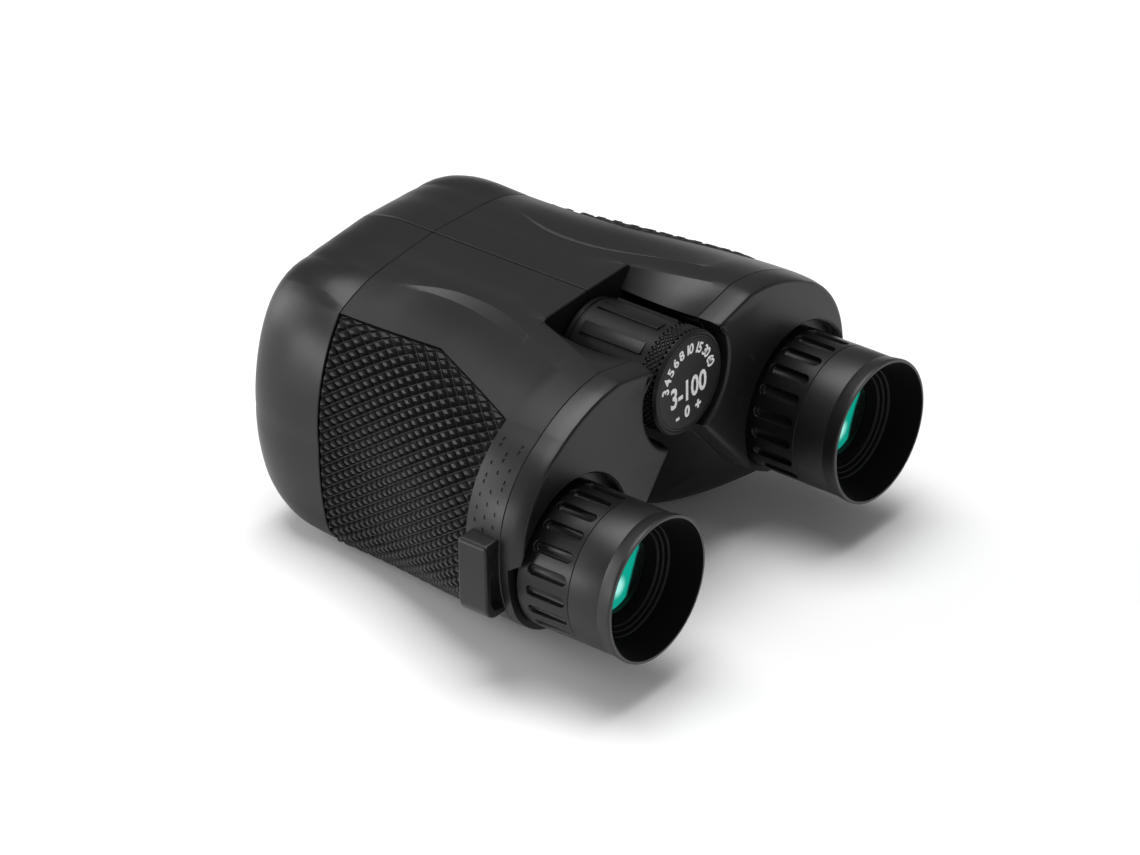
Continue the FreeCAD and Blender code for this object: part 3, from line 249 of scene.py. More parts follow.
def ring_at(y, corners, room, beside_wheel, grip=False, wedge=True):
    """The outline of a half body at one station, as a closed run of points."""
    c = corners
    top_centre, top_radius = circle_through(c["ridge"], c["shoulder_rise"], c["shoulder"])

    def on_top(x, drop=0.0):
        rise = math.sqrt(top_radius ** 2 - (x - top_centre.x) ** 2)
        return Vector((x, top_centre.y + rise - drop))

    if beside_wheel:
        along = (c["seam"] - c["ridge"]).normalized()
        start = c["ridge"] - Vector((0, HINGE_Z))
        half = start.dot(along)
        edge = c["ridge"] + along * (-half - math.sqrt(half ** 2 - start.length_squared + room ** 2))
        top = line(edge, c["ridge"], 6) + [c["ridge"].lerp(edge, 0.04)]
        top[1] = edge.lerp(c["ridge"], 0.03)
        foot, trough = hinge_arc(room, edge, 16)
    else:
        edge = c["seam"]
        raised = between(53.9 - y, 0.0, 8.4) if wedge else 0.0
        crease = edge.lerp(c["ridge"], lerp(0.75, 0.935, raised)) + Vector((0, 0.6 * raised))
        top = [edge - Vector((0, 0.2)), edge + Vector((0.2, 0)), edge.lerp(crease, 0.3),
               edge.lerp(crease, 0.65), crease - Vector((0.15, 0)), crease + Vector((0.1, -0.05)),
               c["ridge"] - Vector((0.2, 0))]
        end = Vector((SEAM, HINGE_Z + math.sqrt(room ** 2 - SEAM ** 2)))
        end.y = min(end.y, edge.y - 0.5)
        foot, trough = hinge_arc(room, end, 14)
        trough += line(end, top[0], 2)
    fade = math.sin(math.pi * between(y, WEDGE_START, WEDGE_END)) ** 0.7 * WEDGE_DEPTH if wedge else 0.0
    high, low, side = follow(WEDGE_TOP, y), follow(WEDGE_FOOT, y), grip_edge(y)
    if not wedge:
        high, low, side = [lerp(c["ridge"].x, c["shoulder"].x, share) for share in (0.15, 0.3, 0.9)]
    top += [on_top(lerp(c["ridge"].x, high, 0.2)), on_top(high), on_top(lerp(high, low, 0.5), fade * 0.5),
            on_top(low, fade)]
    top += [on_top(lerp(low, side, share), fade * keep)
            for share, keep in ((0.05, 1.0), (0.25, 0.75), (0.5, 0.4), (0.75, 0.12))]
    top += [on_top(side)]
    sunk = [on_top(side + 0.05), c["shoulder"].copy()]
    sunk += arc(c["shoulder"], c["flank_high"], c["flank"], 20)[1:]
    sunk += arc(c["flank"], c["flank_low"], c["turn"], 8)
    sunk += arc(c["turn"], c["turn_low"], c["belly_out"], 9)
    belly = c["belly_in"] - c["belly_out"]
    share = min(max((GRIP_LOW - c["belly_out"].x) / belly.x, 0.1), 0.9)
    sunk += line(c["belly_out"], c["belly_out"] + belly * share, 2)
    sunk += [c["belly_out"] + belly * (share - 0.005)]
    rest = [c["belly_out"] + belly * share]
    rest += line(c["belly_out"] + belly * min(share + 0.06, 0.97), c["belly_in"], 2)
    rest += arc(c["belly_in"], c["keel"], c["gap_low"], 7)
    rest += line(c["gap_low"], foot, 4)
    points = top + sunk + rest + trough
    if grip:
        lowered = inset(points, GRIP_DEPTH)
        points[len(top):len(top) + len(sunk)] = lowered[len(top):len(top) + len(sunk)]
    return points


def body_ring(y, beside_wheel, grip=False, wedge=True):
    """The housing's own outline at one station."""
    room = TROUGH if beside_wheel else HINGE_ROOM
    return ring_at(y, corners_at(y, beside_wheel), room, beside_wheel, grip, wedge)


def stretch(bm, ring, y, points):
    """Draw a ring of vertices out along the body to the next outline."""
    edges = [bm.edges.get((ring[i - 1], ring[i])) for i in range(len(ring))]
    made = set(bmesh.ops.extrude_edge_only(bm, edges=edges)["geom"])
    following = [next(e.other_vert(v) for e in v.link_edges if e.other_vert(v) in made) for v in ring]
    for vertex, point in zip(following, points):
        vertex.co = (point.x, y, point.y)
    return following


def first_ring(bm, y, points):
    ring = bmesh.ops.create_circle(bm, segments=len(points), radius=1.0)["verts"]
    for vertex, point in zip(ring, points):
        vertex.co = (point.x, y, point.y)
    return ring


def face_out(bm):
    """Turn every face of a closed mesh outwards."""
    bmesh.ops.recalc_face_normals(bm, faces=bm.faces)


def shell(stations):
    """A closed skin through a list of (y, outline) stations that ends where it began."""
    bm = bmesh.new()
    ring = first_ring(bm, *stations[0])
    for y, points in stations[1:]:
        ring = stretch(bm, ring, y, points)
    stretch(bm, ring, *stations[0])
    bmesh.ops.remove_doubles(bm, verts=bm.verts, dist=1e-5)
    face_out(bm)
    return bm


def turned(profile, steps=96, angle=2 * math.pi, closed=True):
    """A profile of (radius, y) pairs spun about the y axis."""
    bm = bmesh.new()
    verts = [bm.verts.new((radius, y, 0)) for radius, y in profile]
    edges = [bm.edges.new(pair) for pair in zip(verts, verts[1:])]
    if closed:
        edges.append(bm.edges.new((verts[-1], verts[0])))
    whole = angle == 2 * math.pi
    if not whole and closed:
        bm.faces.new(verts)
    bmesh.ops.spin(bm, geom=bm.verts[:] + bm.edges[:] + bm.faces[:], cent=(0, 0, 0), axis=(0, 1, 0),
                   dvec=(0, 0, 0), angle=angle, steps=steps, use_merge=whole)
    bmesh.ops.remove_doubles(bm, verts=bm.verts, dist=1e-5)
    face_out(bm)
    return bm


def join(bm, other):
    """Add another mesh's pieces to this one."""
    spare = bpy.data.meshes.new("spare")
    other.to_mesh(spare)
    bm.from_mesh(spare)
    bpy.data.meshes.remove(spare)
    other.free()


def shift(bm, x=0.0, y=0.0, z=0.0):
    """Move a whole mesh."""
    bmesh.ops.translate(bm, vec=(x, y, z), verts=bm.verts)
    return bm


def on_axis(bm):
    """Lift a mesh turned about y = 0 up to the hinge's axis."""
    return shift(bm, z=HINGE_Z)


def swing(bm, degrees, axis):
    """Turn a whole mesh about an axis through the origin."""
    bmesh.ops.rotate(bm, cent=(0, 0, 0), verts=bm.verts,
                     matrix=Matrix.Rotation(math.radians(degrees), 3, axis))


def all_round(bm, piece, count):
    """Join copies of a piece to a mesh, evenly round the y axis."""
    for i in range(count):
        copy = piece.copy()
        swing(copy, 360.0 * i / count, "Y")
        join(bm, copy)
    piece.free()


def thicken(bm, move):
    """Give a flat sheet its thickness, and return the faces that moved."""
    made = bmesh.ops.extrude_face_region(bm, geom=bm.faces[:], use_keep_orig=True)["geom"]
    bmesh.ops.translate(bm, vec=move, verts=[v for v in made if isinstance(v, bmesh.types.BMVert)])
    return [face for face in made if isinstance(face, bmesh.types.BMFace)]


def soften(bm, edges, width, segments):
    """Round sharp edges off."""
    bmesh.ops.bevel(bm, geom=edges, offset=width, affect="EDGES", segments=segments, profile=0.5, material=-1)


class Wire:
    """A socket in a finish, so that sums on it can be written as sums."""

    def __init__(self, finish, socket):
        self.finish = finish
        self.socket = socket

    def maths(self, operation, *terms):
        return self.finish.node("ShaderNodeMath", {"operation": operation}, dict(enumerate(terms)))

    def __add__(self, other):
        return self.maths("ADD", self, other)

    __radd__ = __add__

    def __sub__(self, other):
        return self.maths("SUBTRACT", self, other)

    def __rsub__(self, other):
        return self.maths("SUBTRACT", other, self)

    def __mul__(self, other):
        return self.maths("MULTIPLY", self, other)

    __rmul__ = __mul__


class Finish:
    """A material, built node by node round one shader."""

    def __init__(self, name, **constants):
        self.material = bpy.data.materials.new(name)
        self.material.use_nodes = True
        self.tree = self.material.node_tree
        self.shader = self.tree.nodes["Principled BSDF"]
        self.place = self.node("ShaderNodeTexCoord", output="Object")
        for socket, value in constants.items():
            self.shader.inputs[socket.replace("_", " ")].default_value = value

    def node(self, kind, settings=None, inputs=None, output=0):
        """Any node: its settings, the values or links of its sockets, and the output wanted."""
        made = self.tree.nodes.new(kind)
        for name, value in (settings or {}).items():
            setattr(made, name, value)
        for name, value in (inputs or {}).items():
            if isinstance(value, Wire):
                self.tree.links.new(value.socket, made.inputs[name])
            else:
                made.inputs[name].default_value = value
        return Wire(self, made.outputs[output])

    def noise(self, per_metre, detail=3.0):
        return self.node("ShaderNodeTexNoise", None,
                         {"Vector": self.place, "Scale": per_metre, "Detail": detail}, "Fac")

    def blend(self, share, low, high):
        """A colour between two others, each a colour or the wire that brings one."""
        low, high = [tone if isinstance(tone, Wire) else (*tone, 1) for tone in (low, high)]
        return self.node("ShaderNodeMix", {"data_type": "RGBA"}, {0: share, 6: low, 7: high}, 2)

    def feed(self, **sockets):
        """Link wires to the shader's sockets."""
        for name, wire in sockets.items():
            self.tree.links.new(wire.socket, self.shader.inputs[name.replace("_", " ")])

    def bump(self, height, strength, distance):
        return self.node("ShaderNodeBump", None,
                         {"Height": height, "Strength": strength, "Distance": distance}, "Normal")


def moulded(name, dark, light, rough, gloss=0.36, grain=0.10):
    """Black moulded plastic: faint cloudy tone, uneven sheen and a fine grain."""
    finish = Finish(name, Specular_IOR_Level=gloss)
    cloud = finish.noise(38.0, 4.0)
    speck = finish.noise(5200.0, 2.0)
    finish.feed(Base_Color=finish.blend(cloud, (dark,) * 3, (light,) * 3),
                Roughness=rough - 0.05 + cloud * 0.07 + speck * 0.04,
                Normal=finish.bump(speck, grain, 0.00004))
    return finish.material


def set_down(name, bm, material, body, replaced=(), sharp=30.0):
    """Put a finished mesh in place on the object and say what it rides on and stands for."""
    bmesh.ops.scale(bm, vec=(MM, MM, MM), verts=bm.verts)
    bmesh.ops.translate(bm, vec=(0, RIMS, AXIS_Z), verts=bm.verts)
    bm.normal_update()
    for face in bm.faces:
        face.smooth = True
    for edge in bm.edges:
        if len(edge.link_faces) == 2:
            edge.smooth = edge.calc_face_angle() < math.radians(sharp)
    mesh = bpy.data.meshes.new(name)
    bm.to_mesh(mesh)
    bm.free()
    mesh.materials.append(material)
    piece = bpy.data.objects.new(name, mesh)
    scene.collection.objects.link(piece)
    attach(piece, body)
    if replaced:
        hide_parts(*replaced)


def mirror(bm):
    """Turn a right-hand mesh into its image on the left."""
    bmesh.ops.scale(bm, vec=(-1, 1, 1), verts=bm.verts)
    bmesh.ops.reverse_faces(bm, faces=bm.faces)


def pair(label, bm, material, slot, nodes, bodies=("left_half", "right_half"), sharp=30.0):
    """A right-hand piece and its mirror image on the left, in place of two nodes or of none."""
    for side, body, node in zip(("left", "right"), bodies, nodes):
        copy = bm.copy()
        if side == "left":
            mirror(copy)
        set_down("%s_%s" % (side, label), copy, material, body, [node] if node else [], sharp)
    bm.free()


shell_plastic = moulded("shell_plastic", 0.0048, 0.0074, 0.37)
WALL = 2.0
EDGE = 0.15                         # rounding of the edges that meet at a seam
LIP_STEP = 0.22                     # the top plate's rounded lip starts this much lower
outer = [(REAR_SEAM, inset(body_ring(26.0, True), EDGE))]
for y in (26.15, 27.4, 28.6, 29.8, 31.0, 32.2, 33.4, 34.6, 35.0):
    outer.append((y, body_ring(y, True)))
for y in (35.02, 37.0, 39.0, 41.0, 43.0, 44.5, 45.5):
    outer.append((y, body_ring(y, True, grip=True)))
lip = body_ring(LIP, False, grip=True)
outer.append((LIP + 0.01, [point - Vector((0, LIP_STEP)) for point in lip[:7]] + lip[7:]))
for y in (45.72, 47.0, 48.5, 50.0, 52.0, 53.9, 56.0, 57.5, 59.0, 61.5, 64.0, 66.5, 69.0, 71.5, 74.0,
          77.3, 80.0, 82.5, 84.85):
    outer.append((y, body_ring(y, False, grip=True)))
outer.append((FRONT_SEAM, inset(body_ring(85.0, False, grip=True), EDGE)))
inner = [(y, inset(body_ring(y, y < 47.35, wedge=False), WALL))
         for y in (85.0, 72.0, 59.0, 50.0, 47.4, 47.3, 40.0, 33.0, 26.0)]
housing = shell(outer + inner)

DIMPLE_COLUMNS, DIMPLE_PITCH = (28.0, 30.4, 32.8), 1.3
dimples = []
for face in housing.faces:
    middle = face.calc_center_median()
    row = int((middle.z + 20.0) / DIMPLE_PITCH)
    for column, y in enumerate(DIMPLE_COLUMNS):
        if abs(middle.y - y) < 0.4 and 9.5 < middle.z < 25.5 and middle.x > 42.0:
            if face.normal.x > 0.3 and (row + column) % 2 == 0:
                dimples.append(face)
bmesh.ops.inset_individual(housing, faces=dimples, thickness=0.38, depth=0.0)
bmesh.ops.inset_individual(housing, faces=dimples, thickness=0.06, depth=-0.18)

LUG_REAR, LUG_FRONT = 26.4, 33.4
LUG_LOW, LUG_HIGH = (46.9, -7.5), (57.6, 10.0)      # its root is hidden in the wall
LUG_BAR = 1.8
LUG_SLOT_LOW = (50.0, LUG_LOW[1] + LUG_BAR)
LUG_SLOT_HIGH = (LUG_HIGH[0] - LUG_BAR, LUG_HIGH[1] - LUG_BAR)


def rounded_ring(bm, low, high, radius, segments=40, top_radius=None):
    """A rounded rectangle of vertices, flat on y = 0."""
    centre = (Vector(low) + Vector(high)) / 2
    half = (Vector(high) - Vector(low)) / 2
    ring = bmesh.ops.create_circle(bm, segments=segments, radius=1.0,
                                   matrix=Matrix.Rotation(math.pi / segments, 4, "Z"))["verts"]
    for vertex in ring:
        out = Vector((math.copysign(1, vertex.co.x), math.copysign(1, vertex.co.y)))
        turn = radius if top_radius is None or out.y < 0 else top_radius
        flat = centre + Vector((out.x * (half.x - turn), out.y * (half.y - turn)))
        vertex.co = (flat.x + vertex.co.x * turn, 0.0, flat.y + vertex.co.y * turn)
    return ring


lug = bmesh.new()
rounded_ring(lug, LUG_LOW, LUG_HIGH, 3.4, top_radius=1.1)
rounded_ring(lug, LUG_SLOT_LOW, LUG_SLOT_HIGH, 2.4, top_radius=1.0)
bmesh.ops.bridge_loops(lug, edges=lug.edges[:])
thicken(lug, (0, LUG_FRONT - LUG_REAR, 0))
shift(lug, y=LUG_REAR)
face_out(lug)
rims = [e for e in lug.edges if len(e.link_faces) == 2 and e.calc_face_angle() > math.radians(60)]
soften(lug, rims, 0.45, 3)
join(housing, lug)

KNUCKLE = 4.5                       # length of a hinge knuckle; the right half's lie between the left's
for side, knuckles in (("left", (48.2, 79.0)), ("right", (53.2, 74.0))):
    half = housing.copy()
    for y in knuckles:
        barrel = turned([(4.03, y), (5.6, y), (5.6, y + KNUCKLE), (4.03, y + KNUCKLE)], 48)
        web = turned([(4.5, y), (6.4, y), (6.4, y + KNUCKLE), (4.5, y + KNUCKLE)], 24, math.radians(158.0))
        swing(web, -88.5, "Y")
        join(barrel, web)
        join(half, on_axis(barrel))
    if side == "left":
        mirror(half)
    set_down(side + "_body_shell", half, shell_plastic, side + "_half",
             [side + "_housing"], 14.0)
housing.free()


# ------------------------------------------------------------------ rubber grips
# A sheet of black rubber is let into the outer side of each housing, from the shoulder round
# to the belly.  Its face is a field of small pyramids with flat tips, and narrow flat valleys
# between them run slantwise both ways.  It is made flat and then wrapped round the side.

DIAMOND = (3.7, 2.7)                # along the body, and down its side
SHEET = 0.97                        # thickness of the rubber, up to the housing's surface
SHEET_GAP = 0.08                    # from the sheet's edge to the housing
VALLEY = 0.13                       # half width of a valley
PYRAMID_SLOPE = 0.84                # width of a pyramid's side, seen from above
PYRAMID = 0.80                      # height of a pyramid below the housing's surface
PROUD = 0.45                        # how far the tips stand out of the housing, on the flank
PROUD_FADE = 4.0                    # from the sheet's edge to where they stand out in full
GROUND = 0.02 - AXIS_Z / MM         # no tip reaches below what the body stands on
FIRST, FLANK, LAST = 15, 37, 56     # places in the outline: the grip's top edge, flank, lower edge
outlines = {}


def side_outline(y):
    """The flank's outline at a station, with the distance of each point from the flank line."""
    key = round(y, 2)
    if key not in outlines:
        points = body_ring(y, y < LIP)[FIRST:LAST + 1]
        lengths = [0.0]
        for a, b in zip(points, points[1:]):
            lengths.append(lengths[-1] + (b - a).length)
        zero = lengths[FLANK - FIRST]
        outlines[key] = [length - zero for length in lengths], points
    return outlines[key]


def wrap(vertex):
    """Lay a flat point (station, distance, height) on the flank."""
    lengths, points = side_outline(vertex.co.x)
    place = max(i for i, length in enumerate(lengths[:-1]) if length <= vertex.co.y or i == 0)
    share = between(vertex.co.y, lengths[place], lengths[place + 1])
    normals = []
    for i in (place, place + 1):
        along = points[min(i + 1, len(points) - 1)] - points[max(i - 1, 0)]
        normals.append(Vector((-along.y, along.x)).normalized())
    spot = points[place].lerp(points[place + 1], share)
    spot += normals[0].lerp(normals[1], share).normalized() * vertex.co.z
    vertex.co = (spot.x, vertex.co.x, spot.y)


def diamond_field(across, along, count):
    """A flat field of diamonds round the origin, with the given diagonals."""
    bm = bmesh.new()
    cell = math.sqrt(0.5)
    bmesh.ops.create_grid(bm, x_segments=count, y_segments=count, size=count * cell / 2)
    swing(bm, 45, "Z")
    bmesh.ops.scale(bm, vec=(across, along, 1), verts=bm.verts)
    return bm


def trim(bm, axis, low, high):
    """Cut a flat field off square at two ends."""
    for limit, out in ((low, -1), (high, 1)):
        normal, spot = Vector((0, 0, 0)), Vector((0, 0, 0))
        normal[axis] = out
        spot[axis] = limit
        bmesh.ops.bisect_plane(bm, geom=bm.verts[:] + bm.edges[:] + bm.faces[:], dist=1e-4,
                               plane_co=spot, plane_no=normal, clear_outer=True)


def raise_pyramids(bm, faces, valley, slope, height, worn):
    """Give each diamond a flat valley round it and a flat-tipped pyramid, lower on cut diamonds."""
    sizes = [(face, 2 * face.calc_area() / face.calc_perimeter()) for face in faces]
    whole = valley + slope
    for low, high, share in ((0.95 * whole, 99.0, 1.0), (0.55 * whole, 0.95 * whole, 0.5),
                             (0.3 * whole, 0.55 * whole, 0.25)):
        group = [face for face, size in sizes if low < size <= high]
        if group:
            valleys = bmesh.ops.inset_individual(bm, faces=group, thickness=valley * share, depth=0.0)
            bmesh.ops.inset_individual(bm, faces=group, thickness=slope * share, depth=height * share)
            # Valleys and tips are flat faces that catch the light: they are marked for a painted highlight,
            # valleys fully and tips partly.
            for face in valleys["faces"]:
                face[worn] = 1.0
            for face in group:
                face[worn] = 0.6


grip = diamond_field(DIAMOND[0], DIAMOND[1], 46)
shift(grip, 60.0, 2 * DIAMOND[1])
trim(grip, 0, GRIP_START + SHEET_GAP, FRONT_SEAM - SHEET_GAP)


def past_edge(vertex):
    """1 above the sheet's upper edge, -1 below its lower edge, and 0 on the sheet."""
    lengths = side_outline(vertex.co.x)[0]
    return (vertex.co.y < lengths[0] + 0.1) - (vertex.co.y > lengths[-1] - 0.1)


outside = [face for face in grip.faces
           if abs(sum(past_edge(vertex) for vertex in face.verts)) == len(face.verts)]
bmesh.ops.delete(grip, geom=outside, context="FACES")
for vertex in grip.verts:
    lengths = side_outline(vertex.co.x)[0]
    vertex.co.y = min(max(vertex.co.y, lengths[0] + SHEET_GAP), lengths[-1] - SHEET_GAP)
bmesh.ops.dissolve_degenerate(grip, dist=0.05, edges=grip.edges)
shift(grip, z=-SHEET)
worn = grip.faces.layers.float.new("worn")
upper = thicken(grip, (0, 0, SHEET - PYRAMID))
raise_pyramids(grip, upper, VALLEY, PYRAMID_SLOPE, PYRAMID, worn)
for vertex in grip.verts:
    if vertex.co.z > -0.4 * PYRAMID:
        lengths = side_outline(vertex.co.x)[0]
        edge = min(vertex.co.y - lengths[0], lengths[-1] - vertex.co.y, vertex.co.x - GRIP_START)
        vertex.co.z += PROUD * between(edge, 0.0, PROUD_FADE)
    wrap(vertex)
    vertex.co.z = max(vertex.co.z, GROUND)
face_out(grip)


def rubber(name, dark, light, highlight_tone, rough, gloss):
    """Black rubber, paler where a face is marked for a painted highlight."""
    finish = Finish(name, Specular_IOR_Level=gloss)
    cloud = finish.noise(60.0, 4.0)
    speck = finish.noise(6500.0, 2.0)
    highlight_share = finish.node("ShaderNodeAttribute", {"attribute_name": "worn"}, output=2)
    tone = finish.blend(cloud, (dark,) * 3, (light,) * 3)
    finish.feed(Base_Color=finish.blend(highlight_share * (0.6 + cloud * 0.5), tone, (highlight_tone,) * 3),
                Roughness=rough + cloud * 0.08 + speck * 0.05,
                Normal=finish.bump(speck, 0.12, 0.00004))
    return finish.material


# Its flat valleys and tips are painted paler as a highlight.
grip_rubber = rubber("grip_rubber", 0.0030, 0.0045, 0.030, 0.48, 0.30)
pair("grip_skin", grip, grip_rubber, "grip_rubber", ("left_grip_panel", "right_grip_panel"), sharp=12.0)


# ------------------------------------------------------------------ rear covers
# A moulded cover closes the rear of each half.  Its rim is rounded, and a counterbore round the
# eyepiece breaks out through its side, with a thin floor left at the bottom of it.  Small marks
# for the right eye's setting are moulded into the right-hand cover.

COVER_FACE = 20.7
BORE = 17.2                         # radius of the counterbore
BORE_FLOOR = 24.0
TUBE_HOLE = 12.86                   # radius of the hole that the eyepiece's tube comes through
# How far the outline is drawn in, at shares of the way from the seam to the face.
COVER_ROUNDING = ((0.0, 0.15), (0.03, 0.0), (0.50, 0.14), (0.86, 0.50), (0.93, 0.64), (0.97, 0.86),
                  (0.993, 1.15), (1.0, 1.50))


def carve(bm, cutter):
    """Cut one closed mesh out of another."""
    pieces = []
    for part in (bm, cutter):
        mesh = bpy.data.meshes.new("carving")
        part.to_mesh(mesh)
        piece = bpy.data.objects.new("carving", mesh)
        scene.collection.objects.link(piece)
        pieces.append(piece)
        part.free()
    cutting = pieces[0].modifiers.new("cut", "BOOLEAN")
    cutting.operation = "DIFFERENCE"
    cutting.solver = "EXACT"
    cutting.object = pieces[1]
    result = bmesh.new()
    result.from_object(pieces[0], bpy.context.evaluated_depsgraph_get())
    for piece in pieces:
        mesh = piece.data
        bpy.data.objects.remove(piece)
        bpy.data.meshes.remove(mesh)
    bmesh.ops.dissolve_degenerate(result, dist=1e-4, edges=result.edges)
    return result


def block(stations):
    """A solid skin through a list of (y, outline) stations, closed at both ends."""
    bm = bmesh.new()
    ring = first_ring(bm, *stations[0])
    bmesh.ops.contextual_create(bm, geom=ring)
    for y, points in stations[1:]:
        ring = stretch(bm, ring, y, points)
    bmesh.ops.contextual_create(bm, geom=ring)
    face_out(bm)
    return bm


seam_outline = body_ring(REAR_SEAM, True)
cover_depth = REAR_SEAM - COVER_FACE
cover = block([(REAR_SEAM - cover_depth * share, inset(seam_outline, depth))
               for share, depth in COVER_ROUNDING])
bore = turned([(0.0, 12.0), (BORE + 0.5, 12.0), (BORE + 0.5, COVER_FACE - 0.1), (BORE, COVER_FACE + 0.4),
               (BORE, BORE_FLOOR), (TUBE_HOLE, BORE_FLOOR), (TUBE_HOLE, 28.0), (0.0, 28.0)], 120)
cover = carve(cover, shift(bore, EYE_X))
pair("cover_rear", cover, shell_plastic, "body_shell", ("left_rear_cover", "right_rear_cover"), sharp=22.0)

# The minus sign, the zero stroke and the two strokes of the plus sign, each with its width.
STROKES = (((29.0, 19.9), (31.7, 20.3), 0.55), ((21.0, 18.7), (22.8, 15.9), 0.6),
           ((17.1, 9.3), (19.1, 9.3), 0.45), ((18.1, 8.3), (18.1, 10.3), 0.45))
mark = bmesh.new()
for (x0, z0), (x1, z1), width in STROKES:
    run = Vector((x1 - x0, z1 - z0))
    stroke = bmesh.ops.create_cube(mark, size=1.0)["verts"]
    bmesh.ops.scale(mark, vec=(run.length, 0.12, width), verts=stroke)
    bmesh.ops.rotate(mark, cent=(0, 0, 0), verts=stroke,
                     matrix=Matrix.Rotation(-math.atan2(run.y, run.x), 3, "Y"))
    bmesh.ops.translate(mark, vec=((x0 + x1) / 2, COVER_FACE, (z0 + z1) / 2), verts=stroke)
soften(mark, mark.edges[:], 0.04, 1)
# The marks are dark strips on the face: painted shade for the moulded recesses.
set_down("setting_marks", mark, moulded("mark_recess", 0.002, 0.004, 0.6), "right_half")


# ------------------------------------------------------------------ front covers
# The nose of each half is a thin moulded shell, rounded in at the top and the side, with the
# objective's mouth at its tip.  A bevel leads into the mouth.  A round hollow on the inner side
# leaves room for the focus spool and the hinge's cap.

MOUTH_X, MOUTH_Z, MOUTH = 21.7, 8.0, 12.9
NOSE_WALL = 1.6
NOSE_INNER_END = 101.5
GAP_SIDE = {"belly_in": 2.5, "keel": 0.6, "gap_low": 0.0}       # from the slanted wall's plane
SPOOL_ROOM = 7.6                    # radius of the hollow, about the hinge axis
SOFT_SHOULDER = (10, 28)            # places in the outline that the rounded shoulder takes up
SOFT_FROM = 90.0                    # station from which the shoulder is fully rounded


def nose_ring(y, thickness=0.0):
    """The nose's outline: the front seam's, drawn in and lifted towards the tip."""
    share = between(y, FRONT_SEAM, NOSE_TIP)
    bend = 1 - math.sqrt(1 - between(share, 0.35, 1.0) ** 2)
    draw = 5.2 * bend
    rise = 0.12 * share ** 1.6 + 0.18 * bend
    corners = {}
    for name, (x, z) in FRONT_CORNERS.items():
        lift = (1 - draw / (TOP - MOUTH_Z)) * (1 - rise if z < MOUTH_Z else 1)
        z = MOUTH_Z + (z - MOUTH_Z) * lift
        x = SEAM + (x - SEAM) * (1 - draw / NOSE_X)
        if name in GAP_SIDE:
            x = WALL_GAP + (HINGE_Z - z) * math.tan(FOLD_HALF) + GAP_SIDE[name]
        corners[name] = Vector((x, z))
    points = ring_at(y, corners, SPOOL_ROOM if thickness > EDGE else 2.0, False, wedge=False)
    first, last = SOFT_SHOULDER
    softness = between(y, FRONT_SEAM, SOFT_FROM)
    lengths = [0.0]
    for a, b in zip(points[first:last], points[first + 1:last + 1]):
        lengths.append(lengths[-1] + (b - a).length)
    pull = corners["shoulder"] * 2 - (points[first] + points[last]) / 2
    start, end = points[first], points[last]
    for i, length in enumerate(lengths):
        t = length / lengths[-1]
        soft = start * (1 - t) ** 2 + pull * (2 * t * (1 - t)) + end * t ** 2
        points[first + i] = points[first + i].lerp(soft, softness)
    return inset(points, thickness)


nose = bmesh.new()
ring = seam_ring = first_ring(nose, FRONT_SEAM, nose_ring(FRONT_SEAM, EDGE))
for y in (85.15, 88.0, 90.5, 92.0, 93.5, 95.0, 96.5, 98.0, 99.3, 100.5, 101.5, 102.4, 103.2, 103.8,
          104.3, 104.7, 104.9, 105.0):
    ring = stretch(nose, ring, y, nose_ring(y))
bmesh.ops.contextual_create(nose, geom=ring)
ring = seam_ring
for y in (85.01, 90.0, 95.0, 98.0, 100.0, NOSE_INNER_END):
    ring = stretch(nose, ring, y, nose_ring(y, NOSE_WALL))
bmesh.ops.contextual_create(nose, geom=ring)
face_out(nose)
mouth = turned([(0.0, 98.0), (MOUTH, 98.0), (MOUTH, 103.6), (MOUTH + 0.25, 103.75),
                (MOUTH + 1.5, 105.1), (MOUTH + 1.5, 108.0), (0.0, 108.0)], 120)
nose = carve(nose, shift(mouth, MOUTH_X, 0.0, MOUTH_Z))
hollow = turned([(0.0, 84.0), (SPOOL_ROOM, 84.0), (SPOOL_ROOM, 107.0), (0.0, 107.0)], 96)
nose = carve(nose, on_axis(hollow))
pair("cover_front", nose, shell_plastic, "body_shell", ("left_front_cover", "right_front_cover"), sharp=22.0)


# ------------------------------------------------------------------ eyepieces
# Round each eyepiece turns a black plastic ring with twenty round-ended finger slots.  A rubber
# eyecup is stretched over its rear; inside, the cup is a cone with three steps, painted near black
# as the shade in it.  The left ring is fixed, and the right one sets the right eye's focus.

RING, RING_START, RING_END = 15.1, 10.6, 23.4
TUBE_FIT = 12.87                    # radius of the ring's bore, on the eyepiece's tube
SLOTS = 20
SLOT_LOW, SLOT_HIGH, SLOT_WIDTH = 11.6, 20.9, 2.2
# A slot's height above the ring's surface, and how much wider it is there than SLOT_WIDTH.
SLOT_PROFILE = ((-1.1, -0.42), (-0.92, -0.16), (-0.7, -0.06), (-0.2, 0.0), (-0.06, 0.1), (0.1, 0.3),
                (0.8, 0.9))
TURNING = ("left_half", "right_dioptre")        # what each eyepiece's ring and cup ride on
ring_body = turned([(TUBE_FIT, 6.6), (13.7, 6.6), (13.7, RING_START + 0.02), (RING - 0.07, RING_START + 0.02),
                    (RING, RING_START + 0.1), (RING, 16.0), (RING, RING_END - 0.3), (RING - 0.3, RING_END),
                    (TUBE_FIT, RING_END)], 160)


def slot_outline(grow):
    """A finger slot's outline, grown on every side."""
    half = SLOT_WIDTH / 2 + grow
    spare = bmesh.new()
    ring = rounded_ring(spare, (-half, SLOT_LOW - grow), (half, SLOT_HIGH + grow), half * 0.999, 24)
    points = [Vector((vertex.co.x, vertex.co.z)) for vertex in ring]
    spare.free()
    return points


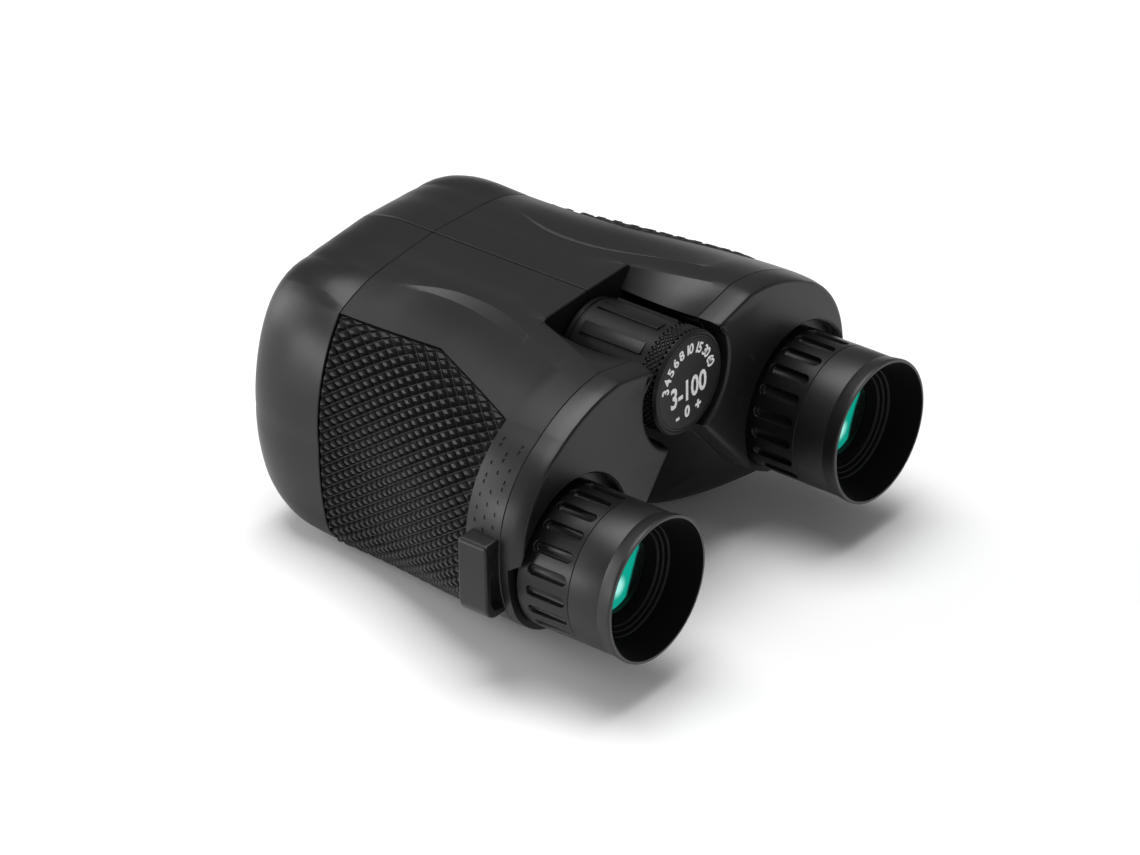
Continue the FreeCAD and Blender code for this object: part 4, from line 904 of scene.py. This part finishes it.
slot = block([(height, slot_outline(grow)) for height, grow in SLOT_PROFILE])
for vertex in slot.verts:
    vertex.co = (vertex.co.x, vertex.co.z, RING + vertex.co.y)
face_out(slot)
slots = bmesh.new()
all_round(slots, slot, SLOTS)
ring_body = shift(carve(ring_body, slots), EYE_X)
ring_plastic = moulded("ring_plastic", 0.0045, 0.0070, 0.35, 0.30)
pair("finger_ring", ring_body, ring_plastic, "ring_plastic", ("left_ocular_ring", "right_dioptre_ring"),
     TURNING, 35.0)

cup = turned([
    (14.85, 0.0), (15.2, 0.0), (15.42, 0.12), (15.5, 0.4), (15.47, 0.9), (15.25, 2.4), (15.1, 3.3),
    (15.06, 3.42), (15.1, 3.55), (15.1, 10.0), (15.1, 10.45), (15.02, 10.56), (13.75, 10.56),
    (13.7, 6.4), (12.5, 6.3), (14.2, 2.0), (14.6, 0.3)], 128)
shift(cup, EYE_X)
# The rim's faces are painted paler: a painted highlight along the lip.
worn = cup.faces.layers.float.new("worn")
for face in cup.faces:
    if face.calc_center_median().y < 0.16:
        face[worn] = 1.0
cup_rubber = rubber("cup_rubber", 0.0050, 0.0075, 0.05, 0.35, 0.40)
pair("cup", cup, cup_rubber, "eyecup_rubber", ("left_eyecup", "right_eyecup"), TURNING, 20.0)

STEP_EDGES = (10.04, 10.94, 11.84)              # radius of each step's edge, painted paler as a highlight
lining = turned([
    (8.0, 9.2), (8.9, 8.1), (9.9, 8.05), (10.0, 7.95), (10.0, 7.45), (10.08, 7.36), (10.8, 7.32),
    (10.9, 7.2), (10.9, 6.85), (10.98, 6.76), (11.7, 6.72), (11.8, 6.6), (11.8, 6.15), (11.88, 6.03),
    (14.45, 0.35), (14.65, 0.1), (14.85, 0.02), (14.75, 0.5), (12.6, 6.0), (12.4, 7.4), (11.4, 8.4),
    (9.6, 9.4)], 128)
shift(lining, EYE_X)
worn = lining.faces.layers.float.new("worn")
for face in lining.faces:
    middle = face.calc_center_median()
    reach = math.hypot(middle.x - EYE_X, middle.z)
    if any(abs(reach - edge) < 0.09 and middle.y < 8.3 for edge in STEP_EDGES):
        face[worn] = 1.0
# The lining is painted far darker than the cup's rubber: painted shade inside the cup.
cup_lining = rubber("cup_lining", 0.0010, 0.0016, 0.045, 0.80, 0.08)
pair("cup_lining", lining, cup_lining, "eyecup_rubber", (None, None), TURNING, 20.0)


def coated(name, x):
    """Dark lens glass with a painted reflection: green emission over one side and a painted pale highlight at
    its edge.
    """
    finish = Finish(name, Roughness=0.06, IOR=1.6, Coat_Weight=1.0, Coat_Roughness=0.03,
                    Emission_Strength=1.0)
    rear = Vector((x * MM, glass_low.y, AXIS_Z))
    tilt = finish.noise(110.0, 2.0)

    def spread(across, up, near, far):
        """Nought inside a circle on the lens and one outside it."""
        offset = finish.node("ShaderNodeVectorMath", {"operation": "SUBTRACT"},
                             {0: finish.place, 1: rear + Vector((across, 0, up)) * MM})
        reach = finish.node("ShaderNodeVectorMath", {"operation": "LENGTH"}, {0: offset}, output=1)
        return finish.node("ShaderNodeMapRange", {"interpolation_type": "SMOOTHSTEP"},
                           {"Value": reach + (tilt - 0.5) * 0.0016, "From Min": near * MM,
                            "From Max": far * MM})

    # Painted reflection: lit marks the crescent where the coating's green reflection is painted into the base
    # and emission colours, and glint marks a painted highlight.
    lit = spread(17.9, -8.5, 13.2, 14.6)
    glint = 1 - spread(0.9, -3.9, 0.9, 3.1)
    green = finish.blend(tilt, (0.002, 0.26, 0.19), (0.006, 0.46, 0.33))
    painted_reflection = finish.blend(lit, (0.001, 0.004, 0.004), green)
    finish.feed(Base_Color=finish.blend(lit, (0.002, 0.004, 0.004), (0.0, 0.10, 0.08)),
                Emission_Color=finish.blend(glint * lit, painted_reflection, (0.42, 0.95, 0.85)))
    return finish.material


def lens_mesh(radius, rear, front, rear_curve, front_curve):
    """A lens spun from two arcs, both bulging outwards."""
    reaches = [radius * i / 12 for i in range(13)]
    profile = [(reach, rear + rear_curve - math.sqrt(rear_curve ** 2 - reach ** 2)) for reach in reaches]
    profile += [(reach, front - front_curve + math.sqrt(front_curve ** 2 - reach ** 2))
                for reach in reversed(reaches)]
    return turned(profile, 96, closed=False)


EYE_LENS, EYE_REAR_CURVE, EYE_FRONT_CURVE = 9.45, 60.0, 24.0      # radii of the lens and of its faces
glass_low, glass_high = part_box("right_eye_lens")
for side, body, x in (("left", "left_half", -EYE_X), ("right", "right_ocular", EYE_X)):
    eye_lens = lens_mesh(EYE_LENS, (glass_low.y - RIMS) / MM, (glass_high.y - RIMS) / MM,
                         EYE_REAR_CURVE, EYE_FRONT_CURVE)
    set_down(side + "_ocular_glass", shift(eye_lens, x), coated(side + "_eye_coating", x), body,
             [side + "_eye_lens"], 40.0)


# ------------------------------------------------------------------ focus wheel
# A black drum with raised finger pads turns between the two halves, on the hinge's axis.  At its
# rear is a ring with a fine diamond knurl, and in that a flat dial plate with printed white
# figures.  All of it is pressed together and turns as one.

WHEEL, DRUM, DIAL = 11.1, 10.6, 10.2            # radii
WHEEL_FACE, DIAL_SEAT, KNURL_END, DRUM_END = 20.3, 21.3, 25.0, 45.1
PADS, PAD_WIDTH, PAD_START, PAD_END = 10, 2.8, 26.9, 42.0
PAD_HIGH, PAD_LOW = 11.02, 10.72                # a pad slopes round the drum
drum = turned([(2.3, DIAL_SEAT), (9.4, DIAL_SEAT), (9.4, 25.02), (10.4, 25.02), (DRUM, 25.2), (DRUM, 35.0),
               (DRUM, 43.2), (DRUM - 0.1, 43.4), (DRUM - 0.45, 43.4), (DRUM - 0.45, 43.9),
               (DRUM - 0.2, 44.0), (DRUM - 0.2, 44.9), (DRUM - 0.4, DRUM_END), (4.1, DRUM_END),
               (4.1, 34.0), (2.3, 34.0)], 120)
pad = bmesh.new()
bmesh.ops.create_cube(pad, size=1.0)
bmesh.ops.scale(pad, vec=(PAD_WIDTH, PAD_END - PAD_START, 1.0), verts=pad.verts)
shift(pad, 0.0, (PAD_START + PAD_END) / 2, DRUM - 0.1)
for vertex in pad.verts:
    if vertex.co.z > DRUM:
        vertex.co.z = PAD_HIGH if vertex.co.x < 0 else PAD_LOW
soften(pad, [edge for edge in pad.edges if all(vertex.co.z > DRUM for vertex in edge.verts)], 0.12, 2)
all_round(drum, pad, PADS)
wheel_plastic = moulded("wheel_plastic", 0.0040, 0.0060, 0.36, 0.20)
set_down("wheel_drum", on_axis(drum), wheel_plastic, "focus_wheel", ["focus_drum"], 25.0)

KNURL, KNURL_MIDDLE, KNURL_HALF = 10.8, 23.1, 1.9      # radius of the valleys, and the band's place
KNURLS_ROUND, KNURL_LENGTH = 52, 1.27
knurl_round = 2 * math.pi * KNURL
knurl = diamond_field(knurl_round / KNURLS_ROUND, KNURL_LENGTH, 64)
trim(knurl, 0, -knurl_round / 2, knurl_round / 2)
trim(knurl, 1, -KNURL_HALF, KNURL_HALF)
worn = knurl.faces.layers.float.new("worn")
raise_pyramids(knurl, knurl.faces[:], 0.05, 0.33, 0.3, worn)
for vertex in knurl.verts:
    angle = vertex.co.x / KNURL
    radius = KNURL + vertex.co.z
    vertex.co = (radius * math.sin(angle), KNURL_MIDDLE + vertex.co.y, radius * math.cos(angle))
bmesh.ops.remove_doubles(knurl, verts=knurl.verts, dist=0.002)
collar = turned([(9.4, DIAL_SEAT), (DIAL + 0.01, DIAL_SEAT), (DIAL + 0.01, WHEEL_FACE + 0.1),
                 (DIAL + 0.1, WHEEL_FACE), (10.5, WHEEL_FACE), (10.65, WHEEL_FACE + 0.08),
                 (WHEEL - 0.08, WHEEL_FACE + 0.62), (WHEEL, WHEEL_FACE + 0.75), (WHEEL, 21.15),
                 (KNURL + 0.01, 21.2)], 120, closed=False)
skirt = turned([(KNURL + 0.01, KNURL_END), (9.4, KNURL_END), (9.4, DIAL_SEAT)], 120, closed=False)
join(collar, skirt)
join(knurl, collar)
bmesh.ops.remove_doubles(knurl, verts=knurl.verts, dist=0.002)
# Its flat valleys and tips are painted paler as a highlight.
knurl_plastic = rubber("knurl_plastic", 0.004, 0.007, 0.020, 0.34, 0.25)
set_down("wheel_knurl", on_axis(knurl), knurl_plastic, "focus_wheel", ["knurled_ring"], 25.0)

DIAL_FACE = WHEEL_FACE + 0.1
plate = turned([(0.0, DIAL_FACE), (9.55, DIAL_FACE), (9.62, DIAL_FACE + 0.1), (9.7, DIAL_FACE + 0.1),
                (9.77, DIAL_FACE), (10.1, DIAL_FACE + 0.02), (10.19, DIAL_FACE + 0.2), (10.19, DIAL_SEAT),
                (0.0, DIAL_SEAT)], 120, closed=False)
dial_enamel = moulded("dial_enamel", 0.0050, 0.0070, 0.40, grain=0.05)
set_down("dial_face", on_axis(plate), dial_enamel, "focus_wheel", ["dial_disc"], 25.0)


FIGURE_SHARE = 0.7                  # a figure's height, as a share of its type size
SCALE = "3 4 5 6 8 10 15 30 60"     # distances in metres, round the top of the dial
SCALE_RADIUS = 6.5
WORDS = (("3-100", 4.5, (0.0, -3.6), 0.80), ("-  0  +", 2.4, (0.0, -7.4), 0.95))


def figure(text, height, boldness):
    """A word or number of a given height as a thin solid, lying flat and centred."""
    curve = bpy.data.curves.new("figure", "FONT")
    curve.body = text
    curve.size = height / FIGURE_SHARE
    curve.align_x = "CENTER"
    curve.offset = boldness
    curve.extrude = 0.03
    curve.resolution_u = 3
    carrier = bpy.data.objects.new("figure", curve)
    scene.collection.objects.link(carrier)
    mesh = bpy.data.meshes.new_from_object(carrier.evaluated_get(bpy.context.evaluated_depsgraph_get()))
    bm = bmesh.new()
    bm.from_mesh(mesh)
    bpy.data.objects.remove(carrier)
    bpy.data.meshes.remove(mesh)
    bpy.data.curves.remove(curve)
    return bm


marks = bmesh.new()
for i, text in enumerate(SCALE):
    if text != " ":
        letter = figure(text, 2.15, 0.09)
        shift(letter, y=SCALE_RADIUS)
        swing(letter, 80 - 160 * i / (len(SCALE) - 1), "Z")
        join(marks, letter)
for text, height, spot, narrow in WORDS:
    word = figure(text, height, 0.16)
    bmesh.ops.scale(word, vec=(narrow, 1, 1), verts=word.verts)
    join(marks, shift(word, *spot))
swing(marks, 90, "X")
shift(marks, y=DIAL_FACE)
white_print = Finish("white_print")
patchy = white_print.noise(900.0, 4.0)
white_print.feed(Base_Color=white_print.blend(patchy, (0.78, 0.78, 0.79), (1.0, 1.0, 1.0)),
                 Roughness=0.35 + patchy * 0.25)
set_down("dial_figures", on_axis(marks), white_print.material, "focus_wheel")


# ------------------------------------------------------------------ hinge cap
# A round plastic cap is pressed over the front of the hinge, between the two mouths.  A fine
# groove runs round the middle of its face.

hinge_cap = turned([(0.0, 103.35), (2.0, 103.3), (2.3, 103.1), (2.6, 103.3), (5.6, 103.1), (6.5, 102.7),
                    (7.15, 102.0), (7.2, 101.0), (7.2, 99.25), (5.3, 99.25), (5.3, 101.5), (0.0, 101.5)],
                   96, closed=False)
cap_plastic = moulded("cap_plastic", 0.010, 0.015, 0.42)
set_down("hinge_front_cap", on_axis(hinge_cap), cap_plastic, "left_half", ["nose_cap"], 30.0)


# ------------------------------------------------------------------ optics and metalwork inside
# What is left is seen through the mouths and the hinge gap, or not at all: moulded black cells,
# machined aluminium, the steel shaft and rods, the brass nut and the glass.

def machined(name, dark, light, rough, metallic=1.0):
    """Turned metal with fine rings left by the tool."""
    finish = Finish(name, Metallic=metallic)
    cloud = finish.noise(120.0, 4.0)
    lines = finish.node("ShaderNodeTexWave", {"wave_type": "BANDS", "bands_direction": "Y"},
                        {"Vector": finish.place, "Scale": 1400.0, "Distortion": 1.5}, "Fac")
    finish.feed(Base_Color=finish.blend(cloud, dark, light), Roughness=rough + cloud * 0.12 + lines * 0.05,
                Normal=finish.bump(lines, 0.08, 0.00003))
    return finish.material


# The inner glass is painted nearly black: painted shade, as it sits in the shut housing.
inner_glass = Finish("plain_glass", IOR=1.55, Coat_Weight=1.0, Coat_Roughness=0.04)
polish = inner_glass.noise(70.0, 3.0)
inner_glass.feed(Base_Color=inner_glass.blend(polish, (0.004, 0.006, 0.007), (0.03, 0.05, 0.05)),
                 Roughness=0.05 + polish * 0.04)

objective_finish = Finish("objective_coating", Roughness=0.05, IOR=1.6, Coat_Weight=1.0, Coat_Roughness=0.03)
bloom = objective_finish.noise(55.0, 2.0)
objective_finish.feed(Base_Color=objective_finish.blend(bloom, (0.003, 0.020, 0.018), (0.012, 0.090, 0.070)))
lens_low, lens_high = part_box("right_objective_lens")
lens_middle = (lens_low + lens_high) / 2
OBJECTIVE_REAR_CURVE, OBJECTIVE_FRONT_CURVE = 180.0, 62.0         # radii of the lens's faces
for side, sign in (("left", -1), ("right", 1)):
    objective = lens_mesh((lens_high.x - lens_low.x) / 2 / MM, (lens_low.y - RIMS) / MM,
                          (lens_high.y - RIMS) / MM, OBJECTIVE_REAR_CURVE, OBJECTIVE_FRONT_CURVE)
    shift(objective, sign * lens_middle.x / MM, 0.0, (lens_middle.z - AXIS_Z) / MM)
    set_down(side + "_objective_glass", objective, objective_finish.material, side + "_objective",
             [side + "_objective_lens"], 40.0)

finishes = {
    "body_shell": shell_plastic, "grip_rubber": grip_rubber, "eyecup_rubber": cup_rubber,
    "ring_plastic": ring_plastic, "wheel_body": wheel_plastic, "wheel_ring": knurl_plastic,
    "dial_plate": wheel_plastic, "inner_plastic": moulded("inner_plastic", 0.008, 0.014, 0.55),
    "inner_metal": machined("blackened_aluminium", (0.02, 0.02, 0.02), (0.05, 0.05, 0.05), 0.35, 0.6),
    "brass": machined("brass", (0.45, 0.30, 0.10), (0.62, 0.44, 0.18), 0.28),
    "steel": machined("steel", (0.38, 0.38, 0.39), (0.56, 0.56, 0.57), 0.24),
    "coated_glass": objective_finish.material, "plain_glass": inner_glass.material}
# Each node of the carried-over model that still shows gets the finish of its material.
for row in frame["record"]["subparts"]:
    node = frame["nodes"][row["node"]]
    if not node.hide_render:
        node.data.materials.clear()
        node.data.materials.append(finishes[row["material_slot"]])
